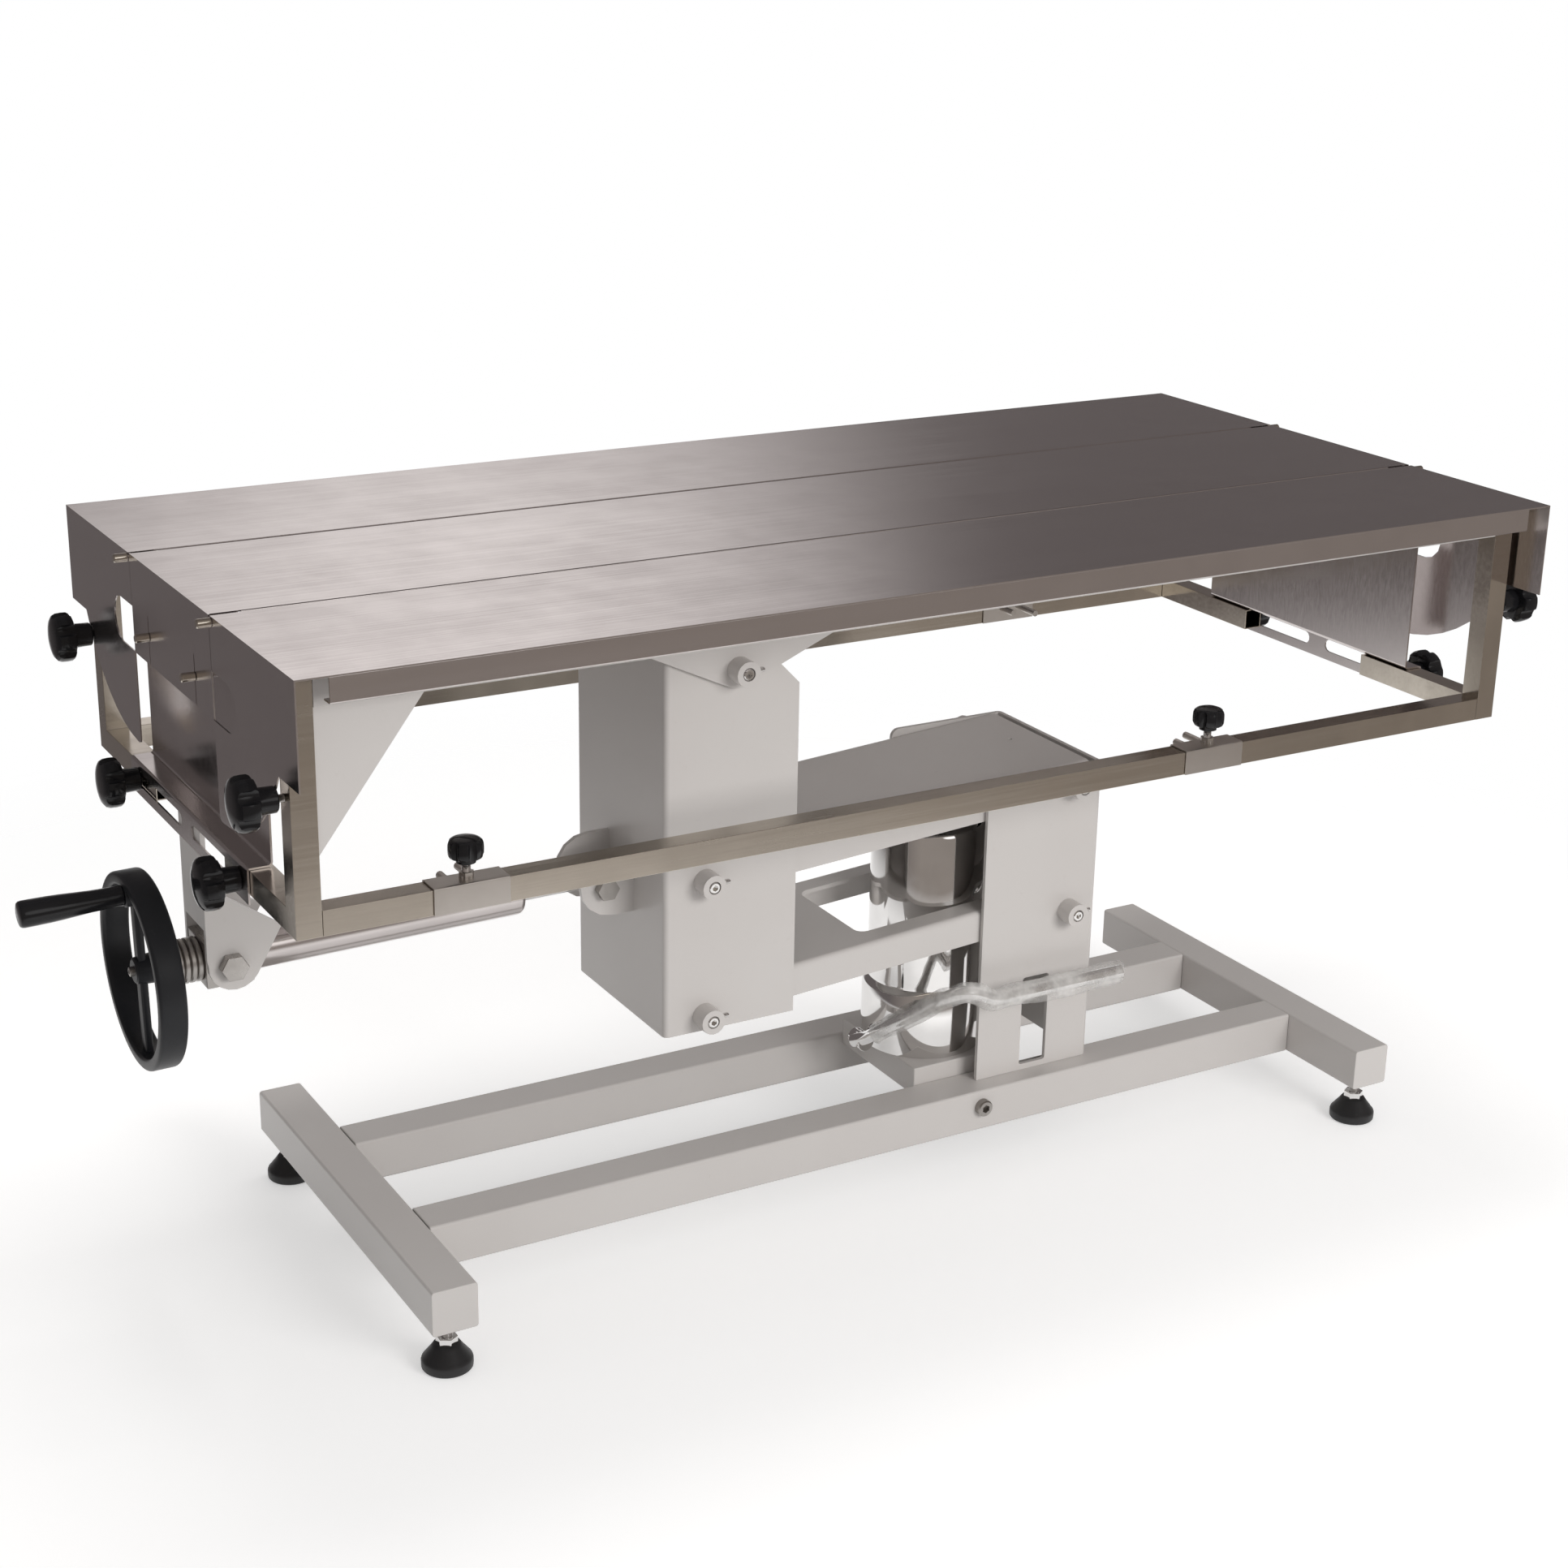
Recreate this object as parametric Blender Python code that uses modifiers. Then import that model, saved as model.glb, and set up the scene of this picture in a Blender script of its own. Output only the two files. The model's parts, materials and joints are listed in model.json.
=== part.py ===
"""Hydraulic operating table with a three-panel steel top that opens into a V.

X runs along the top, Y across it and Z up from the floor. Lengths are in metres. Places are measured
from the middle of the top, and the whole table hangs on one empty that puts its origin in the middle
of its footprint.
"""
import math

import bmesh
import bpy
from mathutils import Matrix, Vector

# Clearances
SEAT_GAP = 0.0003
OVERSHOOT = 0.01
SHEET_OVERSHOOT = 0.005
RUNNING_FIT = 0.0001
WELD = 0.00001

# Sides of the round pieces
PIN_SIDES = 24
SMALL_SIDES = 10
BOSS_SIDES = 16
DRUM_SIDES = 28
RIM_SIDES = 32

# The three panels of the top
TOP_LENGTH = 1.45
TOP_WIDTH = 0.70
TOP_HEIGHT = 0.781
SHEET = 0.0015
MIDDLE_WIDTH = 0.247
SEAM_GAP = 0.001
EDGE_RADIUS = 0.0055
SEAM_LIP = 0.008
MIDDLE_LIP = 0.010
OUTER_LIP = 0.026
RETURN_FLANGE = 0.015
LIP_RUN_IN = 0.020
APRON_DEPTH = 0.102
END_NOTCH_WIDTH = 0.003
SCOOP_HEIGHT = 0.0475
SCOOP_REACH = 0.0655
SCOOP_RISE = 0.0005
NOTCH_RISE = 0.001
SHEET_BEND = 0.002
LIP_END_GAP = 0.0014
TONGUE_CLEARANCE = 0.0007
TONGUE_EDGE = 0.004
TONGUE_CORNER = 0.005
SLIT_WIDTH = 0.002
SLIT_TOP = 0.0513

# The stainless frame under the top
TUBE = 0.025
TUBE_WALL = 0.0015
APRON_CLEARANCE = 0.0055
FRAME_WIDTH = 0.61
FRAME_BOTTOM = 0.524
STUB_END_Y = 0.108
BEAM_HEIGHT = 0.040
BEAM_WALL = 0.002
GUSSET_WIDTH = 0.105
GUSSET_HEIGHT = 0.140
GUSSET_SHEET = 0.003

# The folded cradle at each end, which carries the panels on its pins
CRADLE_SHEET = 0.002
CRADLE_WIDTH = 0.364
CRADLE_SETBACK = 0.021
CRADLE_LIP = 0.0363
CRADLE_LIP_GAP = 0.0005
CRADLE_BEND = 0.003
CRADLE_STEP_Y = 0.118
SLOT_INNER_Y = 0.0145
SLOT_OUTER_Y = 0.165
SLOT_HEIGHT = 0.015
HINGE_PIN_RADIUS = 0.0035
HINGE_PIN_EAR = 0.0038
HINGE_PIN_REACH = 0.008
MIDDLE_PIN_Y = 0.072
MIDDLE_PIN_DROP = 0.073
MIDDLE_PIN_RADIUS = 0.0038
MIDDLE_PIN_REACH = 0.010
MIDDLE_PIN_NECK = 0.0014
MIDDLE_PIN_NECK_HEIGHT = 0.006

# Star knobs at the ends
KNOB_RADIUS = 0.026
KNOB_HEAD = 0.022
KNOB_NECK_RADIUS = 0.013
KNOB_NECK = 0.0197
KNOB_STUD_RADIUS = 0.004
KNOB_STUD = 0.017
UPPER_KNOB_Y = 0.288
UPPER_KNOB_Z = 0.655
LOWER_KNOB_Y = 0.157
LOWER_KNOB_Z = 0.5335
KNOB_LOBES = 6
LOBE_DEPTH = 0.22
LOBE_SHARPNESS = 1.5
KNOB_ROUNDING = 0.12
KNOB_NECK_TAPER = 0.94

# Sleeves that slide on the long rails
SLEEVE_LENGTH = 0.076
SLEEVE_PLAY = 0.0005
SLEEVE_NUT_RADIUS = 0.0075
SLEEVE_NUT = 0.0065
CLEAT_RADIUS = 0.004
CLEAT_DROP = 0.008
CLEATS = ((-0.010, 0.026), (0.014, 0.040))
SLEEVES = {"near_left": (-1, -0.5485), "near_right": (-1, 0.3125), "far": (1, 0.4455)}
SMALL_KNOB_RADIUS = 0.017
SMALL_KNOB_HEAD = 0.020
SMALL_KNOB_NECK_RADIUS = 0.0105
SMALL_KNOB_NECK = 0.010
SMALL_KNOB_SEAT = 0.012

# The lift: two arms of equal length between the pedestal and the column
LIFT_X = 0.279
LIFT_Z = 0.450
ARM_SPAN = 0.477
ARM_FALL = 0.033
ARM_SPACING = 0.155
ARM_HALF_WIDTH = 0.0985
ARM_PLATE = 0.005
ARM_BEND = 0.006
UPPER_ARM_TOP = 0.0215
UPPER_ARM_BOTTOM = 0.0205
LOWER_ARM_TOP = 0.025
LOWER_ARM_BOTTOM = 0.012
ARM_RIGHT_END = 0.033
ARM_LEFT_END = 0.035
LOWER_WINDOW = (0.050, 0.259)
LOWER_WINDOW_HALF = 0.069
LOWER_WINDOW_CORNER = 0.012
PIVOT_RADIUS = 0.007
BOSS_RADIUS = 0.014
BOSS_LENGTH = 0.0225
BOSS_ROOT = 0.001
PIVOT_OVERHANG = 0.0005
GREASE_HOLE = (0.009, 0.010, 0.0025)

# Pedestal and column, both folded channels
CHANNEL_PLATE = 0.005
CHANNEL_BEND = 0.006
CHANNEL_CLEARANCE = 0.002
PEDESTAL_LEFT = 0.162
PEDESTAL_RIGHT = 0.3185
PEDESTAL_TOP = 0.471
PEDESTAL_CORNER = 0.010
PEDESTAL_WINDOW_X = (0.2215, 0.2578)
PEDESTAL_WINDOW_Z = (0.1095, 0.220)
PEDESTAL_WINDOW_CORNER = 0.003
COLUMN_LEFT = -0.246
COLUMN_RIGHT = -0.087
COLUMN_BOTTOM = 0.244
COLUMN_TOP = 0.672
COLUMN_CHAMFER = ((-0.080, 0.615), (-0.112, 0.648), (-0.118, 0.690), (-0.080, 0.690))

# Tilt pivot and the white frame that carries the top
TILT_X = -0.164
TILT_Z = 0.649
TILT_PLATE = 0.006
TILT_GAP = 0.001
TILT_NOSE = 0.021
TILT_TOP = 0.765
TILT_LEFT = -0.42
TILT_RIGHT = 0.12
TILT_EDGE = 0.018
CROSS_BAR_HEIGHT = 0.028
CROSS_BARS_X = ((-0.40, -0.36), (0.06, 0.10))

# Tilt screw between the left end and the column
LUG_X = -0.280
LUG_Z = 0.399
LUG_RADIUS = 0.037
LUG_PLATE = 0.006
LUG_HALF_GAP = 0.0265
LUG_NOSE = 0.029
LUG_RISE = 0.004
LUG_BOLT_RADIUS = 0.008
LUG_BOLT_HEX = 0.0127
LUG_BOLT_HEAD = 0.010
SCREW_X = -0.693
SCREW_Z = 0.392
BLOCK_SIZE = 0.049
BLOCK_HALF_WIDTH = 0.0265
CLEVIS_HALF_GAP = 0.028
CLEVIS_PLATE = 0.006
CLEVIS_RADIUS = 0.027
CLEVIS_WEB_BOTTOM = 0.432
CLEVIS_INNER = (0.053, 0.034)
CLEVIS_SHOULDER = (0.011, 0.0815)
CLEVIS_CORNERS = (0.008, 0.086)
CLEVIS_NOSE_SHIFT = 0.003
TRUNNION_RADIUS = 0.010
TRUNNION_HEX = 0.0145
TRUNNION_HEAD = 0.011
TRUNNION_ROOT = 0.004
TRUNNION_DEPTH = 0.0135
SHAFT_RADIUS = 0.010
SHAFT_END = 0.030
SHAFT_PROUD = 0.004
WASHER_RADIUS = 0.023
WASHER_COUNT = 4
WASHER_PITCH = 0.0065
WASHER_GROOVE = 0.0012
WASHER_EDGE = 0.0025
SCREW_TUBE_RADIUS = 0.0225
SCREW_TUBE_WALL = 0.002
SCREW_TUBE_END = 0.327
SCREW_TUBE_CAP = 0.010
SCREW_TUBE_MOUTH = 0.0145
SCREW_TUBE_ROUNDING = 0.006
SCREW_TUBE_FOOT = 0.004
ROD_RADIUS = 0.010
ROD_LENGTH = 0.335
ROD_CHAMFER = 0.001
ROD_EYE_ROOT = 0.012
ROD_EYE_RADIUS = 0.018
ROD_EYE_HALF_WIDTH = 0.012

# Handwheel, measured along the screw from the block's middle
WHEEL_RADIUS = 0.101
RIM_THICKNESS = 0.013
RIM_FACES = (-0.094, -0.0663)
RIM_EDGE = 0.003
SPOKE_FACES = (-0.086, -0.078)
SPOKE_WIDTH = 0.015
HUB_RADIUS = 0.0165
HUB_TAPER = 0.85
HUB_FACES = (-0.090, -0.0525)
CRANK_RADIUS = 0.082
CRANK_BOSS = 0.0125
HANDLE_LENGTH = 0.1017
HANDLE_ROOT_RADIUS = 0.0105
HANDLE_END_RADIUS = 0.0135
HANDLE_SPINDLE_RADIUS = 0.004
HANDLE_SPINDLE = 0.012
SPINDLE_END_GAP = 0.001
HANDLE_COLLAR = 0.012
HANDLE_WAIST = (0.30, 0.0008)
HANDLE_SWELL = (0.62, 0.0004)
HANDLE_ROUNDING = 0.003

# Base on four feet
BASE_TUBE = 0.050
BASE_WALL = 0.003
BASE_CORNER = 0.003
BASE_TOP = 0.102
BASE_LEFT_X = -0.5554
BASE_RIGHT_X = 0.635
BASE_HALF_WIDTH = 0.254
BASE_RAIL_Y = 0.1057
FOOT_Y = 0.229
FOOT_RADIUS = 0.0265
FOOT_STUD_RADIUS = 0.006
FOOT_STUD_TOP = 0.080
FOOT_NUT_RADIUS = 0.011
FOOT_NUT = (0.028, 0.035)
FOOT_NECK = (0.014, 0.027)
FOOT_SHOULDER = (0.0245, 0.0145)
FOOT_RIM = (0.002, 0.0115)
FOOT_SOLE_EDGE = 0.0015
TRAY_X = (0.092, 0.212)
TRAY_Z = (0.088, 0.122)
TRAY_PLATE = 0.004

# Foot pump
PUMP_X = 0.152
SKIRT_RADIUS = 0.072
SKIRT_TOP = 0.202
PUMP_RADIUS = 0.066
PUMP_TOP = 0.397
PUMP_WALL = 0.003
PUMP_SHOULDER = 0.005
RAM_RADIUS = 0.015
RAM_HEAD_RADIUS = 0.025
RAM_HEAD = 0.008
RAM_BOTTOM = 0.200
RAM_GUIDE = 0.022
RAM_GUIDE_BOTTOM = 0.140
ROLLER_REACH = 0.127
ROLLER_DROP = 0.001
ROLLER_RADIUS = 0.010
ROLLER_EAR = (0.020, 0.024)
ROLLER_EAR_HALF = 0.012
ROLLER_EAR_DROP = 0.008
LEVER_X = 0.068
LEVER_Z = 0.132
LEVER_RADIUS = 0.008
LEVER_HUB_RADIUS = 0.0105
LEVER_HUB_HALF = 0.0125
LEVER_PIN_RADIUS = 0.005
LEVER_EAR = 0.004
LEVER_EAR_REACH = 0.012
LEVER_EAR_ROOT = 0.0035
LEVER_EAR_TOP = 0.013
LEVER_PIN_END = 0.001
LEVER_WINDOW_DEPTH = 0.014
LEVER_WINDOW_START = 0.004
LEVER_WINDOW_SIDE = 0.001
LEVER_WINDOW_TOP = 0.020
LEVER_PATH = (
    (0.060, 0.003, 0.131),
    (0.0665, -0.012, 0.138),
    (0.069, -0.042, 0.160),
    (0.115, -0.140, 0.240),
    (0.158, -0.140, 0.220),
    (0.335, -0.140, 0.219),
)
LEVER_BEND = 0.018
FILM_INSIDE = 0.0086
FILM_OUTSIDE = 0.0106
FILM_START = (0.0683, -0.0335, 0.1538)
FILM_END_X = 0.331

# Finishes: base colour, metallic value and roughness
FINISHES = {
    "white_enamel": ((0.73, 0.71, 0.68), 0.0, 0.38),
    "stainless_sheet": ((0.56, 0.53, 0.52), 1.0, 0.30),
    "stainless_tube": ((0.58, 0.53, 0.47), 1.0, 0.22),
    "polished_chrome": ((0.82, 0.82, 0.82), 1.0, 0.06),
    "zinc_steel": ((0.55, 0.54, 0.53), 1.0, 0.35),
    "black_plastic": ((0.012, 0.012, 0.013), 0.0, 0.25),
    "black_rubber": ((0.015, 0.015, 0.015), 0.0, 0.75),
    "clear_film": ((0.80, 0.79, 0.77), 0.0, 0.20),
}

# Places that follow from the sizes above
HALF_LENGTH = TOP_LENGTH / 2
HALF_WIDTH = TOP_WIDTH / 2
MIDDLE_HALF = MIDDLE_WIDTH / 2
SIDE_INNER = MIDDLE_HALF + SEAM_GAP
HINGE_Y = SIDE_INNER + EDGE_RADIUS
HINGE_Z = TOP_HEIGHT - EDGE_RADIUS
SHEET_UNDERSIDE = TOP_HEIGHT - SHEET
APRON_BOTTOM = TOP_HEIGHT - APRON_DEPTH
APRON_INNER_X = HALF_LENGTH - SHEET
FRAME_X = APRON_INNER_X - APRON_CLEARANCE
FRAME_Y = FRAME_WIDTH / 2
RAIL_TOP = FRAME_BOTTOM + TUBE
LEG_TOP = SHEET_UNDERSIDE - SEAT_GAP
LEG_INNER_X = FRAME_X - TUBE
LEG_INNER_Y = FRAME_Y - TUBE
BEAM_BOTTOM = LEG_TOP - BEAM_HEIGHT
CRADLE_X = FRAME_X - CRADLE_SETBACK
CRADLE_FLANGE = RAIL_TOP + SEAT_GAP + CRADLE_SHEET
CRADLE_LIP_X = FRAME_X + CRADLE_LIP_GAP + CRADLE_SHEET
CRADLE_BOTTOM = CRADLE_FLANGE - CRADLE_LIP
LIP_END_X = CRADLE_X - CRADLE_SHEET - LIP_END_GAP
KNOB_REACH = HALF_LENGTH + SEAT_GAP + KNOB_NECK + KNOB_HEAD
TONGUE_RADIUS = math.hypot(UPPER_KNOB_Y - HINGE_Y, HINGE_Z - UPPER_KNOB_Z) - KNOB_STUD_RADIUS
TONGUE_RADIUS -= TONGUE_CLEARANCE
BASE_BOTTOM = BASE_TOP - BASE_TUBE
CHANNEL_HALF = ARM_HALF_WIDTH + CHANNEL_CLEARANCE + CHANNEL_PLATE
PIVOT_END = CHANNEL_HALF + BOSS_LENGTH
TILT_INNER = CHANNEL_HALF + TILT_GAP
TILT_OUTER = TILT_INNER + TILT_PLATE
ARM_LENGTH = math.hypot(ARM_SPAN, ARM_FALL)
ARM_SLOPE = math.atan2(ARM_FALL, ARM_SPAN)
SCREW_SLOPE = math.atan2(LUG_Z - SCREW_Z, LUG_X - SCREW_X)
HANDLE_END_X = SCREW_X + (RIM_FACES[0] - SEAT_GAP - HANDLE_LENGTH) * math.cos(SCREW_SLOPE)
HANDLE_END_X -= (CRANK_RADIUS + HANDLE_END_RADIUS - HANDLE_ROUNDING) * math.sin(SCREW_SLOPE)
ORIGIN_SHIFT = -(KNOB_REACH + HANDLE_END_X) / 2

PEDESTAL_PIVOTS = {"upper": (LIFT_X, LIFT_Z), "lower": (LIFT_X, LIFT_Z - ARM_SPACING)}
COLUMN_PIVOTS = {name: (x - ARM_SPAN, z - ARM_FALL) for name, (x, z) in PEDESTAL_PIVOTS.items()}
SIDES = {"near": -1, "far": 1}
ENDS = {"left": -1, "right": 1}

# Axes of a flat outline and of the way it is extruded
EXTRUDE = {
    "x": Matrix(((0, 0, 1, 0), (1, 0, 0, 0), (0, 1, 0, 0), (0, 0, 0, 1))),
    "y": Matrix(((1, 0, 0, 0), (0, 0, -1, 0), (0, 1, 0, 0), (0, 0, 0, 1))),
    "z": Matrix.Identity(4),
}
DIRECTIONS = {"x": Vector((1, 0, 0)), "y": Vector((0, 1, 0)), "z": Vector((0, 0, 1))}


def new_collection(name):
    """Make a collection in the scene."""
    collection = bpy.data.collections.new(name)
    bpy.context.scene.collection.children.link(collection)
    return collection


for leftover in list(bpy.data.objects):
    bpy.data.objects.remove(leftover, do_unlink=True)
TABLE = new_collection("operating_table")
SHAPING = new_collection("shaping_solids")
ASSEMBLY_PLACES = {}


def assembly(name, place, parent=None):
    """Add an empty that carries a group of pieces, with its origin at the group's joint."""
    empty = bpy.data.objects.new(name, None)
    empty.empty_display_size = 0.05
    TABLE.objects.link(empty)
    place = Vector(place)
    if parent is None:
        empty.location = place + Vector((ORIGIN_SHIFT, 0, 0))
    else:
        empty.parent = parent
        empty.location = place - ASSEMBLY_PLACES[parent.name]
    ASSEMBLY_PLACES[name] = place
    return empty


def finish_material(name, finish):
    """Make one piece's own material from the table of finishes."""
    colour, metallic, roughness = FINISHES[finish]
    material = bpy.data.materials.new(name + "_" + finish)
    material.use_nodes = True
    shader = material.node_tree.nodes["Principled BSDF"]
    shader.inputs["Base Color"].default_value = (*colour, 1.0)
    shader.inputs["Metallic"].default_value = metallic
    shader.inputs["Roughness"].default_value = roughness
    material.diffuse_color = (*colour, 1.0)
    return material


def link_mesh(name, mesh):
    """Put a mesh into the table's collection as a new object."""
    solid = bpy.data.objects.new(name, mesh)
    TABLE.objects.link(solid)
    solid.parent = ROOT
    return solid


def finish_node(solid, name, finish, home, pivot=None):
    """Name a finished piece, hang it on its assembly and put its origin on the joint."""
    place = ASSEMBLY_PLACES[home.name] if pivot is None else Vector(pivot)
    solid = link_mesh(name, settle(solid))
    solid.data.name = name
    solid.data.transform(Matrix.Translation(-place))
    solid.parent = home
    solid.location = place - ASSEMBLY_PLACES[home.name]
    solid.data.materials.clear()
    solid.data.materials.append(finish_material(name, finish))
    solid.data.shade_smooth()
    solid.data.set_sharp_from_angle(angle=math.radians(35))
    return solid


def weld(mesh):
    """Merge doubled points and turn every face outwards."""
    build = bmesh.new()
    build.from_mesh(mesh)
    bmesh.ops.remove_doubles(build, verts=build.verts, dist=WELD)
    bmesh.ops.recalc_face_normals(build, faces=build.faces)
    build.to_mesh(mesh)
    build.free()


def settle(solid):
    """Turn an object with its modifiers into a plain mesh and clear away what shaped it."""
    bpy.context.view_layer.update()
    evaluated = solid.evaluated_get(bpy.context.evaluated_depsgraph_get())
    mesh = bpy.data.meshes.new_from_object(evaluated)
    used = [modifier.object for modifier in solid.modifiers if modifier.type == "BOOLEAN"]
    for spent in [solid, *used]:
        bpy.data.objects.remove(spent, do_unlink=True)
    weld(mesh)
    return mesh


def box(name, x_range, y_range, z_range):
    """A box between two bounds along each axis."""
    build = bmesh.new()
    bmesh.ops.create_cube(build, size=1.0)
    bounds = (x_range, y_range, z_range)
    bmesh.ops.scale(build, verts=build.verts, vec=[abs(high - low) for low, high in bounds])
    bmesh.ops.translate(build, verts=build.verts, vec=[(low + high) / 2 for low, high in bounds])
    mesh = bpy.data.meshes.new(name)
    build.to_mesh(mesh)
    build.free()
    return link_mesh(name, mesh)


def rod(name, start, end, radius, end_radius=None, segments=PIN_SIDES):
    """A round bar or a cone between two points."""
    start = Vector(start)
    end = Vector(end)
    build = bmesh.new()
    last = radius if end_radius is None else end_radius
    bmesh.ops.create_cone(build, cap_ends=True, segments=segments, radius1=radius, radius2=last,
                          depth=(end - start).length)
    turn = (end - start).to_track_quat("Z", "Y").to_matrix().to_4x4()
    bmesh.ops.transform(build, verts=build.verts, matrix=Matrix.Translation((start + end) / 2) @ turn)
    mesh = bpy.data.meshes.new(name)
    build.to_mesh(mesh)
    build.free()
    return link_mesh(name, mesh)


def cross_rod(name, place, half_length, radius, segments=PIN_SIDES):
    """A round bar across the table through a point given as (x, z)."""
    x, z = place
    return rod(name, (x, -half_length, z), (x, half_length, z), radius, segments=segments)


def extrusion(name, outlines, axis, low, high):
    """Extrude flat closed outlines between two bounds; an outline inside another is a hole."""
    curve = bpy.data.curves.new(name, "CURVE")
    curve.dimensions = "2D"
    curve.fill_mode = "BOTH"
    curve.extrude = (high - low) / 2
    for outline in outlines:
        spline = curve.splines.new("POLY")
        spline.points.add(len(outline) - 1)
        for point, (across, along) in zip(spline.points, outline):
            point.co = (across, along, 0.0, 1.0)
        spline.use_cyclic_u = True
    flat = bpy.data.objects.new(name, curve)
    TABLE.objects.link(flat)
    mesh = settle(flat)
    bpy.data.curves.remove(curve)
    mesh.transform(Matrix.Translation(DIRECTIONS[axis] * (low + high) / 2) @ EXTRUDE[axis])
    return link_mesh(name, mesh)


def turned(name, profile, closed, segments=DRUM_SIDES):
    """Turn a profile of (radius, height) points about Z; it runs down its outer side."""
    build = bmesh.new()
    points = [build.verts.new((radius, 0.0, height)) for radius, height in profile]
    for first, second in zip(points, points[1:]):
        build.edges.new((first, second))
    if closed:
        build.edges.new((points[-1], points[0]))
    mesh = bpy.data.meshes.new(name)
    build.to_mesh(mesh)
    build.free()
    solid = link_mesh(name, mesh)
    screw = solid.modifiers.new("turn", "SCREW")
    screw.axis = "Z"
    screw.steps = segments
    screw.render_steps = segments
    screw.use_merge_vertices = True
    screw.merge_threshold = WELD
    return link_mesh(name, settle(solid))


def swept(name, path, radius):
    """A round bar along a path, with closed ends."""
    curve = bpy.data.curves.new(name, "CURVE")
    curve.dimensions = "3D"
    curve.bevel_depth = radius
    curve.bevel_resolution = 2
    curve.use_fill_caps = True
    spline = curve.splines.new("POLY")
    spline.points.add(len(path) - 1)
    for point, place in zip(spline.points, path):
        point.co = (*place, 1.0)
    bar = bpy.data.objects.new(name, curve)
    TABLE.objects.link(bar)
    mesh = settle(bar)
    bpy.data.curves.remove(curve)
    return link_mesh(name, mesh)


def combine(target, tool, operation):
    """Shape one solid with another by a Boolean; the second is a hidden guide."""
    modifier = target.modifiers.new(operation.lower(), "BOOLEAN")
    modifier.operation = operation
    modifier.solver = "EXACT"
    modifier.object = tool
    TABLE.objects.unlink(tool)
    SHAPING.objects.link(tool)
    tool.hide_render = True
    tool.display_type = "WIRE"
    return target


def cut(target, tool):
    return combine(target, tool, "DIFFERENCE")


def join(target, tool):
    return combine(target, tool, "UNION")


def keep_inside(target, tool):
    return combine(target, tool, "INTERSECT")


def arc(centre, radius, start, end, steps):
    """Points on an arc from one angle to another, in degrees."""
    angles = [math.radians(start + (end - start) * step / steps) for step in range(steps + 1)]
    return [(centre[0] + radius * math.cos(a), centre[1] + radius * math.sin(a)) for a in angles]


def fillet(points, radius, steps=3, closed=True):
    """Round the corners of an outline or a path, in two or three dimensions."""
    points = [Vector(point) for point in points]
    count = len(points)
    result = []
    for index, corner in enumerate(points):
        if not closed and index in (0, count - 1):
            result.append(tuple(corner))
            continue
        back = points[index - 1] - corner
        ahead = points[(index + 1) % count] - corner
        half_angle = back.angle(ahead) / 2
        reach = min(radius / math.tan(half_angle), 0.45 * back.length, 0.45 * ahead.length)
        fitted = reach * math.tan(half_angle)
        start = corner + back.normalized() * reach
        end = corner + ahead.normalized() * reach
        middle = corner + (back.normalized() + ahead.normalized()).normalized() * fitted / math.sin(half_angle)
        first = start - middle
        last = end - middle
        sweep = first.angle(last)
        for step in range(steps + 1):
            share = step / steps
            spoke = (first * math.sin((1 - share) * sweep) + last * math.sin(share * sweep)) / math.sin(sweep)
            result.append(tuple(middle + spoke))
    return result


def rectangle(low, high, corner=0.0, steps=2):
    """A rectangle between two corners, with rounded corners if asked."""
    points = [(low[0], low[1]), (high[0], low[1]), (high[0], high[1]), (low[0], high[1])]
    return fillet(points, corner, steps) if corner > 0 else points


def ribbon(path, thickness):
    """The closed outline of a bent sheet whose outer face follows the path and lies on its left."""
    points = [Vector(point) for point in path]
    inner = []
    for index, point in enumerate(points):
        before = (point - points[index - 1]).normalized() if index else None
        after = (points[index + 1] - point).normalized() if index + 1 < len(points) else None
        before = after if before is None else before
        after = before if after is None else after
        normal = Vector((-(before + after).y, (before + after).x)).normalized()
        side = Vector((-before.y, before.x))
        inner.append(point - normal * thickness / normal.dot(side))
    return [tuple(point) for point in points] + [tuple(point) for point in reversed(inner)]


def mirrored(points, side):
    """Mirror an outline across the table's middle when the side is the near one."""
    if side > 0:
        return list(points)
    return [(-across, along) for across, along in reversed(points)]


def hexagon(place, radius):
    """A hexagon round a point, given by the radius to its corners."""
    return arc(place, radius, 0, 300, 5)


def square_tube(name, axis, centre, size, wall, low, high, corner=0.0):
    """A hollow tube with open ends, its centre given in the plane across its length."""
    half = (size[0] / 2, size[1] / 2)
    outer = rectangle((centre[0] - half[0], centre[1] - half[1]), (centre[0] + half[0], centre[1] + half[1]), corner)
    inner = rectangle((centre[0] - half[0] + wall, centre[1] - half[1] + wall),
                      (centre[0] + half[0] - wall, centre[1] + half[1] - wall))
    return extrusion(name, [outer, inner], axis, low, high)


# Assemblies, each at its joint

ROOT = assembly("table_origin", (0, 0, 0))
UPPER_LIFT = assembly("upper_arm_pivot", (LIFT_X, 0, LIFT_Z), ROOT)
LOWER_LIFT = assembly("lower_arm_pivot", (LIFT_X, 0, LIFT_Z - ARM_SPACING), ROOT)
COLUMN_HOME = assembly("column_pivot", (LIFT_X - ARM_SPAN, 0, LIFT_Z - ARM_FALL), UPPER_LIFT)
TILT_HOME = assembly("tilt_pivot", (TILT_X, 0, TILT_Z), COLUMN_HOME)
BLOCK_HOME = assembly("screw_block_pivot", (SCREW_X, 0, SCREW_Z), TILT_HOME)
ROD_HOME = assembly("screw_rod_pivot", (LUG_X, 0, LUG_Z), COLUMN_HOME)
RAM_HOME = assembly("ram_slide", (PUMP_X, 0, RAM_BOTTOM), ROOT)
LEVER_HOME = assembly("pedal_pivot", (LEVER_X, 0, LEVER_Z), ROOT)
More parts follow.
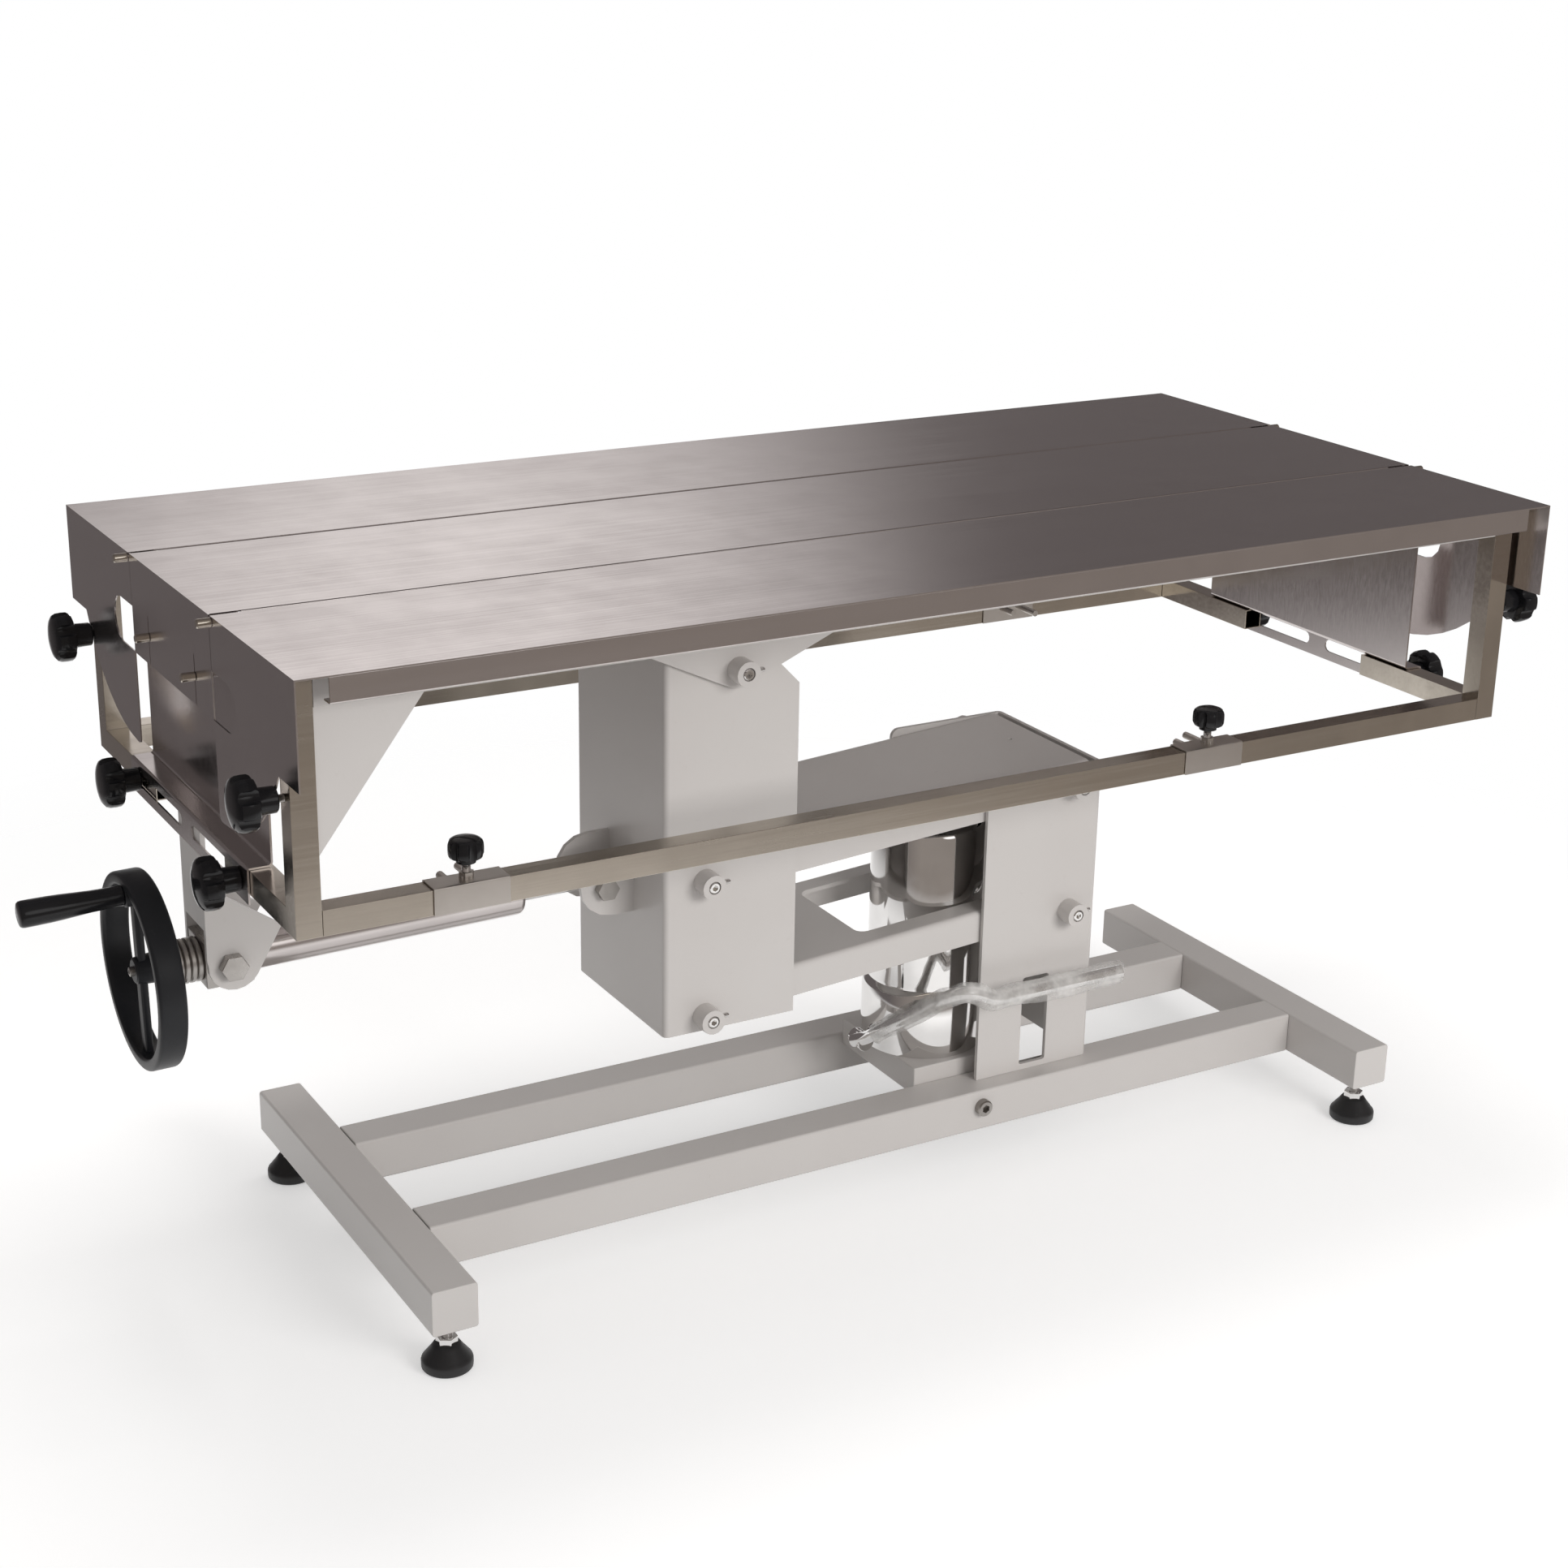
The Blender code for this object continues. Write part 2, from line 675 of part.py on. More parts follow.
NEAR_PANEL_HOME = assembly("near_panel_hinge", (0, -HINGE_Y, HINGE_Z), TILT_HOME)
FAR_PANEL_HOME = assembly("far_panel_hinge", (0, HINGE_Y, HINGE_Z), TILT_HOME)
MIDDLE_PANEL_HOME = assembly("middle_panel_seat", (0, 0, TOP_HEIGHT), TILT_HOME)


def base_frame():
    """Two cross tubes with closed ends and the two long rails between them."""
    middle_z = BASE_TOP - BASE_TUBE / 2
    half = BASE_TUBE / 2
    for end, x in (("left", BASE_LEFT_X), ("right", BASE_RIGHT_X)):
        outline = rectangle((x - half, BASE_BOTTOM), (x + half, BASE_TOP), BASE_CORNER)
        tube = extrusion("cross_tube", [outline], "y", -BASE_HALF_WIDTH, BASE_HALF_WIDTH)
        inner = half - BASE_WALL
        hollow = box("cross_hollow", (x - inner, x + inner), (BASE_WALL - BASE_HALF_WIDTH, BASE_HALF_WIDTH - BASE_WALL),
                     (BASE_BOTTOM + BASE_WALL, BASE_TOP - BASE_WALL))
        cut(tube, hollow)
        for side in SIDES.values():
            y = side * FOOT_Y
            cut(tube, rod("stud_hole", (x, y, BASE_BOTTOM - BASE_WALL), (x, y, middle_z),
                          FOOT_STUD_RADIUS + SEAT_GAP, segments=SMALL_SIDES))
        finish_node(tube, "base_cross_" + end, "white_enamel", ROOT)
    for side_name, side in SIDES.items():
        rail = square_tube("base_rail", "x", (side * BASE_RAIL_Y, middle_z), (BASE_TUBE, BASE_TUBE), BASE_WALL,
                           BASE_LEFT_X + half + SEAT_GAP, BASE_RIGHT_X - half - SEAT_GAP, BASE_CORNER)
        finish_node(rail, "base_rail_" + side_name, "white_enamel", ROOT)


def feet():
    """Round levelling feet whose studs screw up into the cross tubes."""
    profile = [
        (0.0, FOOT_STUD_TOP),
        (FOOT_STUD_RADIUS, FOOT_STUD_TOP),
        (FOOT_STUD_RADIUS, FOOT_NUT[1]),
        (FOOT_NUT_RADIUS, FOOT_NUT[1]),
        (FOOT_NUT_RADIUS, FOOT_NUT[0]),
        FOOT_NECK,
        FOOT_SHOULDER,
        (FOOT_RADIUS, FOOT_RIM[1]),
        (FOOT_RADIUS, FOOT_RIM[0]),
        (FOOT_RADIUS - FOOT_SOLE_EDGE, 0.0),
        (0.0, 0.0),
    ]
    for end, x in (("left", BASE_LEFT_X), ("right", BASE_RIGHT_X)):
        for side_name, side in SIDES.items():
            foot = turned("foot", profile, False, segments=BOSS_SIDES)
            foot.data.transform(Matrix.Translation((x, side * FOOT_Y, 0)))
            finish_node(foot, "foot_" + side_name + "_" + end, "black_rubber", ROOT, (x, side * FOOT_Y, 0))


def pump_tray():
    """The folded tray between the rails that carries the pump."""
    half = BASE_RAIL_Y - BASE_TUBE / 2 - SEAT_GAP
    tray = box("tray", TRAY_X, (-half, half), TRAY_Z)
    inner = half - TRAY_PLATE
    cut(tray, box("tray_hollow", (TRAY_X[0] + TRAY_PLATE, TRAY_X[1] - TRAY_PLATE), (-inner, inner),
                  (TRAY_Z[0] - TRAY_PLATE, TRAY_Z[1] - TRAY_PLATE)))
    finish_node(tray, "pump_tray", "white_enamel", ROOT)


def add_bosses(channel, pivots, inner_face, pin_gap, through_gap):
    """Round bosses on both outer faces of a channel, bored for the pivot pins."""
    for x, z in pivots:
        for side in SIDES.values():
            start = side * (inner_face - BOSS_ROOT)
            end = side * (inner_face + BOSS_LENGTH)
            join(channel, rod("boss", (x, start, z), (x, end, z), BOSS_RADIUS, segments=BOSS_SIDES))
        cut(channel, cross_rod("boss_bore", (x, z), PIVOT_END + through_gap, PIVOT_RADIUS + pin_gap,
                               segments=BOSS_SIDES))


def pivot_pin(name, place, end, home):
    """A plain pin that reaches through both bosses."""
    x, z = place
    pin = cross_rod("pin", place, end, PIVOT_RADIUS)
    finish_node(pin, name, "polished_chrome", home, (x, 0, z))


def pedestal():
    """The folded channel that stands on the rails and carries both arms."""
    bottom = BASE_TOP + SEAT_GAP
    path = [(PEDESTAL_LEFT, CHANNEL_HALF), (PEDESTAL_RIGHT, CHANNEL_HALF),
            (PEDESTAL_RIGHT, -CHANNEL_HALF), (PEDESTAL_LEFT, -CHANNEL_HALF)]
    outline = ribbon(fillet(path, CHANNEL_BEND, closed=False), CHANNEL_PLATE)
    channel = extrusion("pedestal_channel", [outline], "z", bottom, PEDESTAL_TOP)
    overshoot = 0.02
    profile = [(PEDESTAL_LEFT, bottom - overshoot), (PEDESTAL_RIGHT + overshoot, bottom - overshoot),
               (PEDESTAL_RIGHT + overshoot, PEDESTAL_TOP)]
    profile += arc((PEDESTAL_LEFT + PEDESTAL_CORNER, PEDESTAL_TOP - PEDESTAL_CORNER), PEDESTAL_CORNER, 90, 180, 4)
    keep_inside(channel, extrusion("pedestal_side", [profile], "y", -CHANNEL_HALF - overshoot,
                                   CHANNEL_HALF + overshoot))
    window = rectangle((PEDESTAL_WINDOW_X[0], PEDESTAL_WINDOW_Z[0]), (PEDESTAL_WINDOW_X[1], PEDESTAL_WINDOW_Z[1]),
                       PEDESTAL_WINDOW_CORNER)
    cut(channel, extrusion("pedestal_window", [window], "y", -CHANNEL_HALF - overshoot, CHANNEL_HALF + overshoot))
    add_bosses(channel, PEDESTAL_PIVOTS.values(), CHANNEL_HALF, SEAT_GAP, overshoot)
    finish_node(channel, "pedestal", "white_enamel", ROOT)
    for name, place in PEDESTAL_PIVOTS.items():
        pivot_pin("pin_pedestal_" + name, place, PIVOT_END + PIVOT_OVERHANG, ROOT)


def arm_frame(place):
    """The matrix that lays a shape drawn along X from a pedestal pivot along its arm."""
    return Matrix.Translation((place[0], 0, place[1])) @ Matrix.Rotation(-ARM_SLOPE, 4, "Y")


def arm(name, level, top, bottom):
    """One arm: an inverted channel bored for its two pins, drawn with its pivot at the origin."""
    overshoot = 0.03
    half = ARM_HALF_WIDTH
    path = [(-half, -bottom), (-half, top), (half, top), (half, -bottom)]
    section = ribbon(fillet(path, ARM_BEND, closed=False), ARM_PLATE)
    channel = extrusion(name + "_channel", [section], "x", -ARM_LENGTH - ARM_LEFT_END, ARM_RIGHT_END)
    right = [math.degrees(math.asin(value / ARM_RIGHT_END)) for value in (-bottom, top)]
    left = [math.degrees(math.asin(value / ARM_LEFT_END)) for value in (top, -bottom)]
    profile = arc((0, 0), ARM_RIGHT_END, right[0], right[1], 6)
    profile += arc((-ARM_LENGTH, 0), ARM_LEFT_END, 180 - left[0], 180 - left[1], 6)
    side = extrusion(name + "_side", [profile], "y", -half - overshoot, half + overshoot)
    matrix = arm_frame(PEDESTAL_PIVOTS[level])
    channel.data.transform(matrix)
    side.data.transform(matrix)
    keep_inside(channel, side)
    for place in (PEDESTAL_PIVOTS[level], COLUMN_PIVOTS[level]):
        cut(channel, cross_rod("pin_bore", place, half + overshoot, PIVOT_RADIUS + RUNNING_FIT))
    return channel


def upper_arm():
    """The upper arm with the roller that the ram pushes on."""
    channel = arm("upper_arm", "upper", UPPER_ARM_TOP, UPPER_ARM_BOTTOM)
    matrix = arm_frame(PEDESTAL_PIVOTS["upper"])
    web_inside = UPPER_ARM_TOP - ARM_PLATE / 2
    for side in SIDES.values():
        ear = box("roller_ear", (-ROLLER_REACH - ROLLER_EAR_HALF, ROLLER_EAR_HALF - ROLLER_REACH),
                  sorted((side * ROLLER_EAR[0], side * ROLLER_EAR[1])), (-ROLLER_EAR_DROP, web_inside))
        ear.data.transform(matrix)
        join(channel, ear)
    middle = (ROLLER_EAR[0] + ROLLER_EAR[1]) / 2
    roller = rod("roller", (-ROLLER_REACH, -middle, -ROLLER_DROP), (-ROLLER_REACH, middle, -ROLLER_DROP),
                 ROLLER_RADIUS)
    roller.data.transform(matrix)
    join(channel, roller)
    along, across, radius = GREASE_HOLE
    hole = rod("web_hole", (-along, across, 0.0), (-along, across, UPPER_ARM_TOP * 2), radius, segments=SMALL_SIDES)
    hole.data.transform(matrix)
    cut(channel, hole)
    finish_node(channel, "upper_arm", "white_enamel", UPPER_LIFT)


def lower_arm():
    """The lower arm, open in the middle where the pump stands."""
    channel = arm("lower_arm", "lower", LOWER_ARM_TOP, LOWER_ARM_BOTTOM)
    window = rectangle((-LOWER_WINDOW[1], -LOWER_WINDOW_HALF), (-LOWER_WINDOW[0], LOWER_WINDOW_HALF),
                       LOWER_WINDOW_CORNER, 4)
    opening = extrusion("pump_opening", [window], "z", 0.0, LOWER_ARM_TOP * 2)
    opening.data.transform(arm_frame(PEDESTAL_PIVOTS["lower"]))
    cut(channel, opening)
    finish_node(channel, "lower_arm", "white_enamel", LOWER_LIFT)


def column():
    """The folded channel that the arms raise, with the two lugs of the tilt screw on its back."""
    path = [(COLUMN_RIGHT, -CHANNEL_HALF), (COLUMN_LEFT, -CHANNEL_HALF),
            (COLUMN_LEFT, CHANNEL_HALF), (COLUMN_RIGHT, CHANNEL_HALF)]
    outline = ribbon(fillet(path, CHANNEL_BEND, closed=False), CHANNEL_PLATE)
    channel = extrusion("column_channel", [outline], "z", COLUMN_BOTTOM, COLUMN_TOP)
    overshoot = 0.02
    cut(channel, extrusion("column_chamfer", [COLUMN_CHAMFER], "y", -CHANNEL_HALF - overshoot,
                           CHANNEL_HALF + overshoot))
    root_x = COLUMN_LEFT + CHANNEL_PLATE / 2
    nose = arc((LUG_X - LUG_NOSE + LUG_RADIUS, LUG_Z + LUG_RISE), LUG_RADIUS, 90, 270, 8)
    outline = nose + [(root_x, nose[-1][1]), (root_x, nose[0][1])]
    for side in SIDES.values():
        low, high = sorted((side * LUG_HALF_GAP, side * (LUG_HALF_GAP + LUG_PLATE)))
        join(channel, extrusion("lug", [outline], "y", low, high))
    cut(channel, cross_rod("lug_bore", (LUG_X, LUG_Z), LUG_HALF_GAP + LUG_PLATE + overshoot,
                           LUG_BOLT_RADIUS + SEAT_GAP))
    add_bosses(channel, COLUMN_PIVOTS.values(), CHANNEL_HALF, SEAT_GAP, overshoot)
    cut(channel, cross_rod("tilt_bore", (TILT_X, TILT_Z), CHANNEL_HALF + overshoot, PIVOT_RADIUS + RUNNING_FIT))
    finish_node(channel, "column", "white_enamel", COLUMN_HOME)
    for name, place in COLUMN_PIVOTS.items():
        pivot_pin("pin_column_" + name, place, PIVOT_END + PIVOT_OVERHANG, COLUMN_HOME)


def hex_bolt(name, place, shank_radius, hex_radius, near_face, far_face, near_head, far_head):
    """A bolt across the table with a hexagon at each end that is asked for."""
    x, z = place
    shank = rod(name, (x, near_face - near_head / 2, z), (x, far_face + far_head / 2, z), shank_radius)
    if near_head:
        join(shank, extrusion("bolt_head", [hexagon(place, hex_radius)], "y", near_face - near_head, near_face))
    if far_head:
        join(shank, extrusion("bolt_nut", [hexagon(place, hex_radius)], "y", far_face, far_face + far_head))
    return shank


def lug_bolt():
    """The bolt that holds the rod's eye between the lugs."""
    face = LUG_HALF_GAP + LUG_PLATE + SEAT_GAP
    bolt = hex_bolt("bolt", (LUG_X, LUG_Z), LUG_BOLT_RADIUS, LUG_BOLT_HEX, -face, face,
                    LUG_BOLT_HEAD, LUG_BOLT_HEAD)
    finish_node(bolt, "lug_bolt", "zinc_steel", COLUMN_HOME, (LUG_X, 0, LUG_Z))


def tilt_frame():
    """Two side plates on the tilt pivot, joined by two cross bars under the top."""
    nose = (TILT_X, TILT_Z)
    left_low = (TILT_LEFT, TILT_TOP - TILT_EDGE)
    right_low = (TILT_RIGHT, TILT_TOP - TILT_EDGE)
    outline = [(TILT_RIGHT, TILT_TOP), (TILT_LEFT, TILT_TOP), left_low]
    outline += arc(nose, TILT_NOSE, 243, 297, 6)
    outline += [right_low]
    frame = extrusion("tilt_plate_near", [outline], "y", -TILT_OUTER, -TILT_INNER)
    join(frame, extrusion("tilt_plate_far", [outline], "y", TILT_INNER, TILT_OUTER))
    reach = LEG_INNER_Y - SEAT_GAP
    bar_top = TILT_TOP - SEAT_GAP
    for bar_x in CROSS_BARS_X:
        join(frame, box("cross_bar", bar_x, (-reach, reach), (bar_top - CROSS_BAR_HEIGHT, bar_top)))
    for low, high in CROSS_BARS_X:
        cut(frame, box("bar_bore", (low + BEAM_WALL, high - BEAM_WALL), (-reach - TUBE, reach + TUBE),
                       (bar_top - CROSS_BAR_HEIGHT + BEAM_WALL, bar_top - BEAM_WALL)))
    add_bosses(frame, [nose], TILT_OUTER, SEAT_GAP, 0.02)
    finish_node(frame, "tilt_frame", "white_enamel", TILT_HOME)
    pivot_pin("pin_tilt", nose, TILT_OUTER + BOSS_LENGTH + PIVOT_OVERHANG, TILT_HOME)


def end_frames():
    """Four corner legs, each in one piece with the stub of tube that turns in under the cradle."""
    for end_name, end in ENDS.items():
        for side_name, side in SIDES.items():
            x_range = sorted((end * LEG_INNER_X, end * FRAME_X))
            y_range = sorted((side * LEG_INNER_Y, side * FRAME_Y))
            leg = box("leg", x_range, y_range, (FRAME_BOTTOM, LEG_TOP))
            join(leg, box("stub", x_range, sorted((side * STUB_END_Y, side * (FRAME_Y - TUBE / 2))),
                          (FRAME_BOTTOM, RAIL_TOP)))
            inner_x = (x_range[0] + TUBE_WALL, x_range[1] - TUBE_WALL)
            leg_bore = box("leg_bore", inner_x, (y_range[0] + TUBE_WALL, y_range[1] - TUBE_WALL),
                           (FRAME_BOTTOM + TUBE_WALL, LEG_TOP + TUBE))
            cut(leg, leg_bore)
            cut(leg, box("stub_bore", inner_x, sorted((side * (STUB_END_Y - TUBE), side * (FRAME_Y - TUBE / 2))),
                         (FRAME_BOTTOM + TUBE_WALL, RAIL_TOP - TUBE_WALL)))
            for y, z in ((UPPER_KNOB_Y, UPPER_KNOB_Z), (LOWER_KNOB_Y, LOWER_KNOB_Z)):
                cut(leg, rod("stud_hole", (end * (FRAME_X - TUBE / 2), side * y, z), (end * (FRAME_X + TUBE), side * y, z),
                             KNOB_STUD_RADIUS + SEAT_GAP, segments=SMALL_SIDES))
            finish_node(leg, "leg_" + side_name + "_" + end_name, "stainless_tube", TILT_HOME)


def side_rails():
    """The long lower rails and the beams that carry the top, with the gusset at the near left corner."""
    reach = LEG_INNER_X - SEAT_GAP
    middle = FRAME_Y - TUBE / 2
    for side_name, side in SIDES.items():
        rail = square_tube("rail", "x", (side * middle, FRAME_BOTTOM + TUBE / 2), (TUBE, TUBE), TUBE_WALL,
                           -reach, reach)
        finish_node(rail, "rail_" + side_name, "stainless_tube", TILT_HOME)
        beam = square_tube("beam", "x", (side * middle, LEG_TOP - BEAM_HEIGHT / 2), (TUBE, BEAM_HEIGHT), BEAM_WALL,
                           -reach, reach)
        if side < 0:
            gusset = [(-reach, BEAM_BOTTOM + BEAM_WALL / 2), (-reach, BEAM_BOTTOM - GUSSET_HEIGHT),
                      (GUSSET_WIDTH - reach, BEAM_BOTTOM), (GUSSET_WIDTH - reach, BEAM_BOTTOM + BEAM_WALL / 2)]
            face = -FRAME_Y + GUSSET_SHEET
            join(beam, extrusion("gusset", [gusset], "y", face, face + GUSSET_SHEET))
        finish_node(beam, "beam_" + side_name, "white_enamel", TILT_HOME)


def cradle(end_name, end):
    """A folded end plate on the stubs, with hinge pins, middle pins and a slotted lip."""
    half = CRADLE_WIDTH / 2
    seat = SHEET_UNDERSIDE - SEAT_GAP
    path = [(CRADLE_X, seat), (CRADLE_X, CRADLE_FLANGE), (CRADLE_LIP_X, CRADLE_FLANGE), (CRADLE_LIP_X, CRADLE_BOTTOM)]
    fold = ribbon(fillet(path, CRADLE_BEND, 3, closed=False), CRADLE_SHEET)
    outline = [(end * x, z) for x, z in fold]
    plate = extrusion("cradle_plate", [outline], "y", -half, half)
    overshoot = 0.01
    for side in SIDES.values():
        corner = box("cradle_step", sorted((end * (CRADLE_X - overshoot), end * (CRADLE_X + overshoot))),
                     sorted((side * CRADLE_STEP_Y, side * (half + overshoot))), (HINGE_Z, seat + overshoot))
        cut(plate, corner)
        y = side * HINGE_Y
        join(plate, rod("hinge_ear", (end * (CRADLE_X - CRADLE_SHEET), y, HINGE_Z), (end * CRADLE_X, y, HINGE_Z),
                        HINGE_PIN_EAR, segments=BOSS_SIDES))
        join(plate, rod("hinge_pin", (end * (CRADLE_X - CRADLE_SHEET / 2), y, HINGE_Z),
                        (end * (HALF_LENGTH + HINGE_PIN_REACH), y, HINGE_Z), HINGE_PIN_RADIUS, segments=BOSS_SIDES))
        y = side * MIDDLE_PIN_Y
        z = TOP_HEIGHT - MIDDLE_PIN_DROP
        neck = MIDDLE_PIN_NECK / 2
        join(plate, rod("middle_pin_root", (end * (CRADLE_X - CRADLE_SHEET / 2), y, z),
                        (end * (APRON_INNER_X - SEAT_GAP), y, z), MIDDLE_PIN_RADIUS, segments=SMALL_SIDES))
        join(plate, box("middle_pin_neck", sorted((end * (APRON_INNER_X - CRADLE_SHEET), end * (HALF_LENGTH + CRADLE_SHEET))),
                        (y - neck, y + neck), (z - MIDDLE_PIN_NECK_HEIGHT / 2, z + MIDDLE_PIN_NECK_HEIGHT / 2)))
        join(plate, rod("middle_pin_head", (end * (HALF_LENGTH + SEAT_GAP), y, z),
                        (end * (HALF_LENGTH + MIDDLE_PIN_REACH), y, z), MIDDLE_PIN_RADIUS, segments=SMALL_SIDES))
        radius = SLOT_HEIGHT / 2
        centres = (SLOT_INNER_Y + radius, SLOT_OUTER_Y - radius)
        slot = arc((centres[1], LOWER_KNOB_Z), radius, -90, 90, 5) + arc((centres[0], LOWER_KNOB_Z), radius, 90, 270, 5)
        cut(plate, extrusion("lip_slot", [mirrored(slot, side)], "x",
                             *sorted((end * (FRAME_X + CRADLE_LIP_GAP / 2), end * (CRADLE_LIP_X + overshoot)))))
    finish_node(plate, "cradle_" + end_name, "stainless_sheet", TILT_HOME)


def side_panel(side_name, side, home):
    """A side panel: rounded at the seam, lipped outside, with an apron and tongue at each end."""
    path = [(SIDE_INNER, HINGE_Z - SEAM_LIP)] + arc((HINGE_Y, HINGE_Z), EDGE_RADIUS, 180, 90, 4)
    path += fillet([(HALF_WIDTH - LIP_RUN_IN, TOP_HEIGHT), (HALF_WIDTH, TOP_HEIGHT), (HALF_WIDTH, TOP_HEIGHT - OUTER_LIP),
                    (HALF_WIDTH - RETURN_FLANGE, TOP_HEIGHT - OUTER_LIP)], SHEET_BEND, 2, closed=False)[1:]
    section = mirrored(ribbon(path, SHEET), side)
    panel = extrusion("panel_fold", [section], "x", -LIP_END_X, LIP_END_X)
    notch_edge = SIDE_INNER + END_NOTCH_WIDTH
    join(panel, box("panel_sheet", (-HALF_LENGTH, HALF_LENGTH), sorted((side * notch_edge, side * HALF_WIDTH)),
                    (SHEET_UNDERSIDE, TOP_HEIGHT)))
    drop = HINGE_Z - APRON_BOTTOM
    flap_inner = HINGE_Y + math.sqrt(TONGUE_RADIUS ** 2 - drop ** 2)
    start_angle = -math.degrees(math.asin(drop / TONGUE_RADIUS))
    end_angle = -math.degrees(math.acos(TONGUE_EDGE / TONGUE_RADIUS))
    tongue_bottom = HINGE_Z - TONGUE_RADIUS
    scoop_low = APRON_BOTTOM + SCOOP_RISE
    scoop_high = scoop_low + SCOOP_HEIGHT
    scoop_radius = SCOOP_HEIGHT / 2
    scoop_centre = (SIDE_INNER + SCOOP_REACH - scoop_radius, scoop_low + scoop_radius)
    outline = [(HALF_WIDTH, TOP_HEIGHT), (HALF_WIDTH, APRON_BOTTOM), (flap_inner, APRON_BOTTOM)]
    outline += arc((HINGE_Y, HINGE_Z), TONGUE_RADIUS, start_angle, end_angle, 8)[1:]
    outline += arc((SIDE_INNER + TONGUE_CORNER, tongue_bottom + TONGUE_CORNER), TONGUE_CORNER, 270, 180, 2)
    outline += [(SIDE_INNER, scoop_low)] + arc(scoop_centre, scoop_radius, -90, 90, 6) + [(SIDE_INNER, scoop_high)]
    notch_bottom = HINGE_Z + NOTCH_RISE
    outline += [(SIDE_INNER, notch_bottom), (notch_edge, notch_bottom), (notch_edge, TOP_HEIGHT)]
    for end in ENDS.values():
        low, high = sorted((end * APRON_INNER_X, end * HALF_LENGTH))
        join(panel, extrusion("apron", [mirrored(outline, side)], "x", low, high))
        y = side * HINGE_Y
        cut(panel, rod("hinge_bore", (end * (APRON_INNER_X - SHEET_OVERSHOOT), y, HINGE_Z),
                       (end * (HALF_LENGTH + SHEET_OVERSHOOT), y, HINGE_Z), HINGE_PIN_RADIUS + RUNNING_FIT,
                       segments=BOSS_SIDES))
    finish_node(panel, "panel_" + side_name, "stainless_sheet", home)


def middle_panel():
    """The middle panel, which lifts off: lipped along both seams, with slit aprons at the ends."""
    lip = TOP_HEIGHT - MIDDLE_LIP
    path = [(-MIDDLE_HALF, lip), (-MIDDLE_HALF, TOP_HEIGHT), (MIDDLE_HALF, TOP_HEIGHT), (MIDDLE_HALF, lip)]
    section = ribbon(fillet(path, SHEET_BEND, 2, closed=False), SHEET)
    panel = extrusion("middle_fold", [section], "x", -LIP_END_X, LIP_END_X)
    edge = MIDDLE_HALF - SHEET_BEND
    join(panel, box("middle_sheet", (-HALF_LENGTH, HALF_LENGTH), (-edge, edge), (SHEET_UNDERSIDE, TOP_HEIGHT)))
    for end in ENDS.values():
        low, high = sorted((end * APRON_INNER_X, end * HALF_LENGTH))
        apron = rectangle((-MIDDLE_HALF, APRON_BOTTOM), (MIDDLE_HALF, TOP_HEIGHT))
        join(panel, extrusion("middle_apron", [apron], "x", low, high))
        for side in SIDES.values():
            y = side * MIDDLE_PIN_Y
            half = SLIT_WIDTH / 2
            cut(panel, box("slit", (low - SHEET_OVERSHOOT, high + SHEET_OVERSHOOT), (y - half, y + half),
                           (APRON_BOTTOM - OVERSHOOT, TOP_HEIGHT - SLIT_TOP)))
    finish_node(panel, "panel_middle", "stainless_sheet", MIDDLE_PANEL_HOME)


def star_outline(radius, steps=3):
    """A lobed outline, deepest between the lobes."""
    depth = LOBE_DEPTH * radius
    count = KNOB_LOBES * steps
    points = []
    for index in range(count):
        angle = 2 * math.pi * index / count
        reach = radius - depth * (0.5 - 0.5 * math.cos(KNOB_LOBES * angle)) ** LOBE_SHARPNESS
        points.append((reach * math.cos(angle), reach * math.sin(angle)))
    return points


def star_knob(radius, head, neck_radius, neck, stud_radius, stud):
    """A star knob on its stud, drawn up the Z axis with its seat at zero."""
    crown = extrusion("knob_head", [star_outline(radius)], "z", neck, neck + head)
    bevel = crown.modifiers.new("rounding", "BEVEL")
    bevel.width = KNOB_ROUNDING * head
    bevel.segments = 1
    bevel.limit_method = "ANGLE"
    bevel.angle_limit = math.radians(60)
    join(crown, rod("knob_neck", (0, 0, 0), (0, 0, neck + head / 2), neck_radius * KNOB_NECK_TAPER,
                    neck_radius, segments=SMALL_SIDES))
    join(crown, rod("knob_stud", (0, 0, -stud), (0, 0, neck / 2), stud_radius, segments=SMALL_SIDES))
    return settle(crown)


def end_knobs():
    """Four knobs at each end: two clamp the side panels' tongues and two the cradle's lip."""
    mesh = star_knob(KNOB_RADIUS, KNOB_HEAD, KNOB_NECK_RADIUS, KNOB_NECK, KNOB_STUD_RADIUS, KNOB_STUD)
    rows = (("upper", UPPER_KNOB_Y, UPPER_KNOB_Z, HALF_LENGTH + SEAT_GAP),
            ("lower", LOWER_KNOB_Y, LOWER_KNOB_Z, CRADLE_LIP_X + SEAT_GAP))
    for end_name, end in ENDS.items():
        turn = DIRECTIONS["x"] * end
        matrix = turn.to_track_quat("Z", "Y").to_matrix().to_4x4()
        for row, y, z, seat in rows:
            for side_name, side in SIDES.items():
                place = Vector((end * seat, side * y, z))
                copy = mesh.copy()
                copy.transform(Matrix.Translation(place) @ matrix)
                knob = link_mesh("knob", copy)
                finish_node(knob, "knob_" + row + "_" + side_name + "_" + end_name, "black_plastic", TILT_HOME, place)


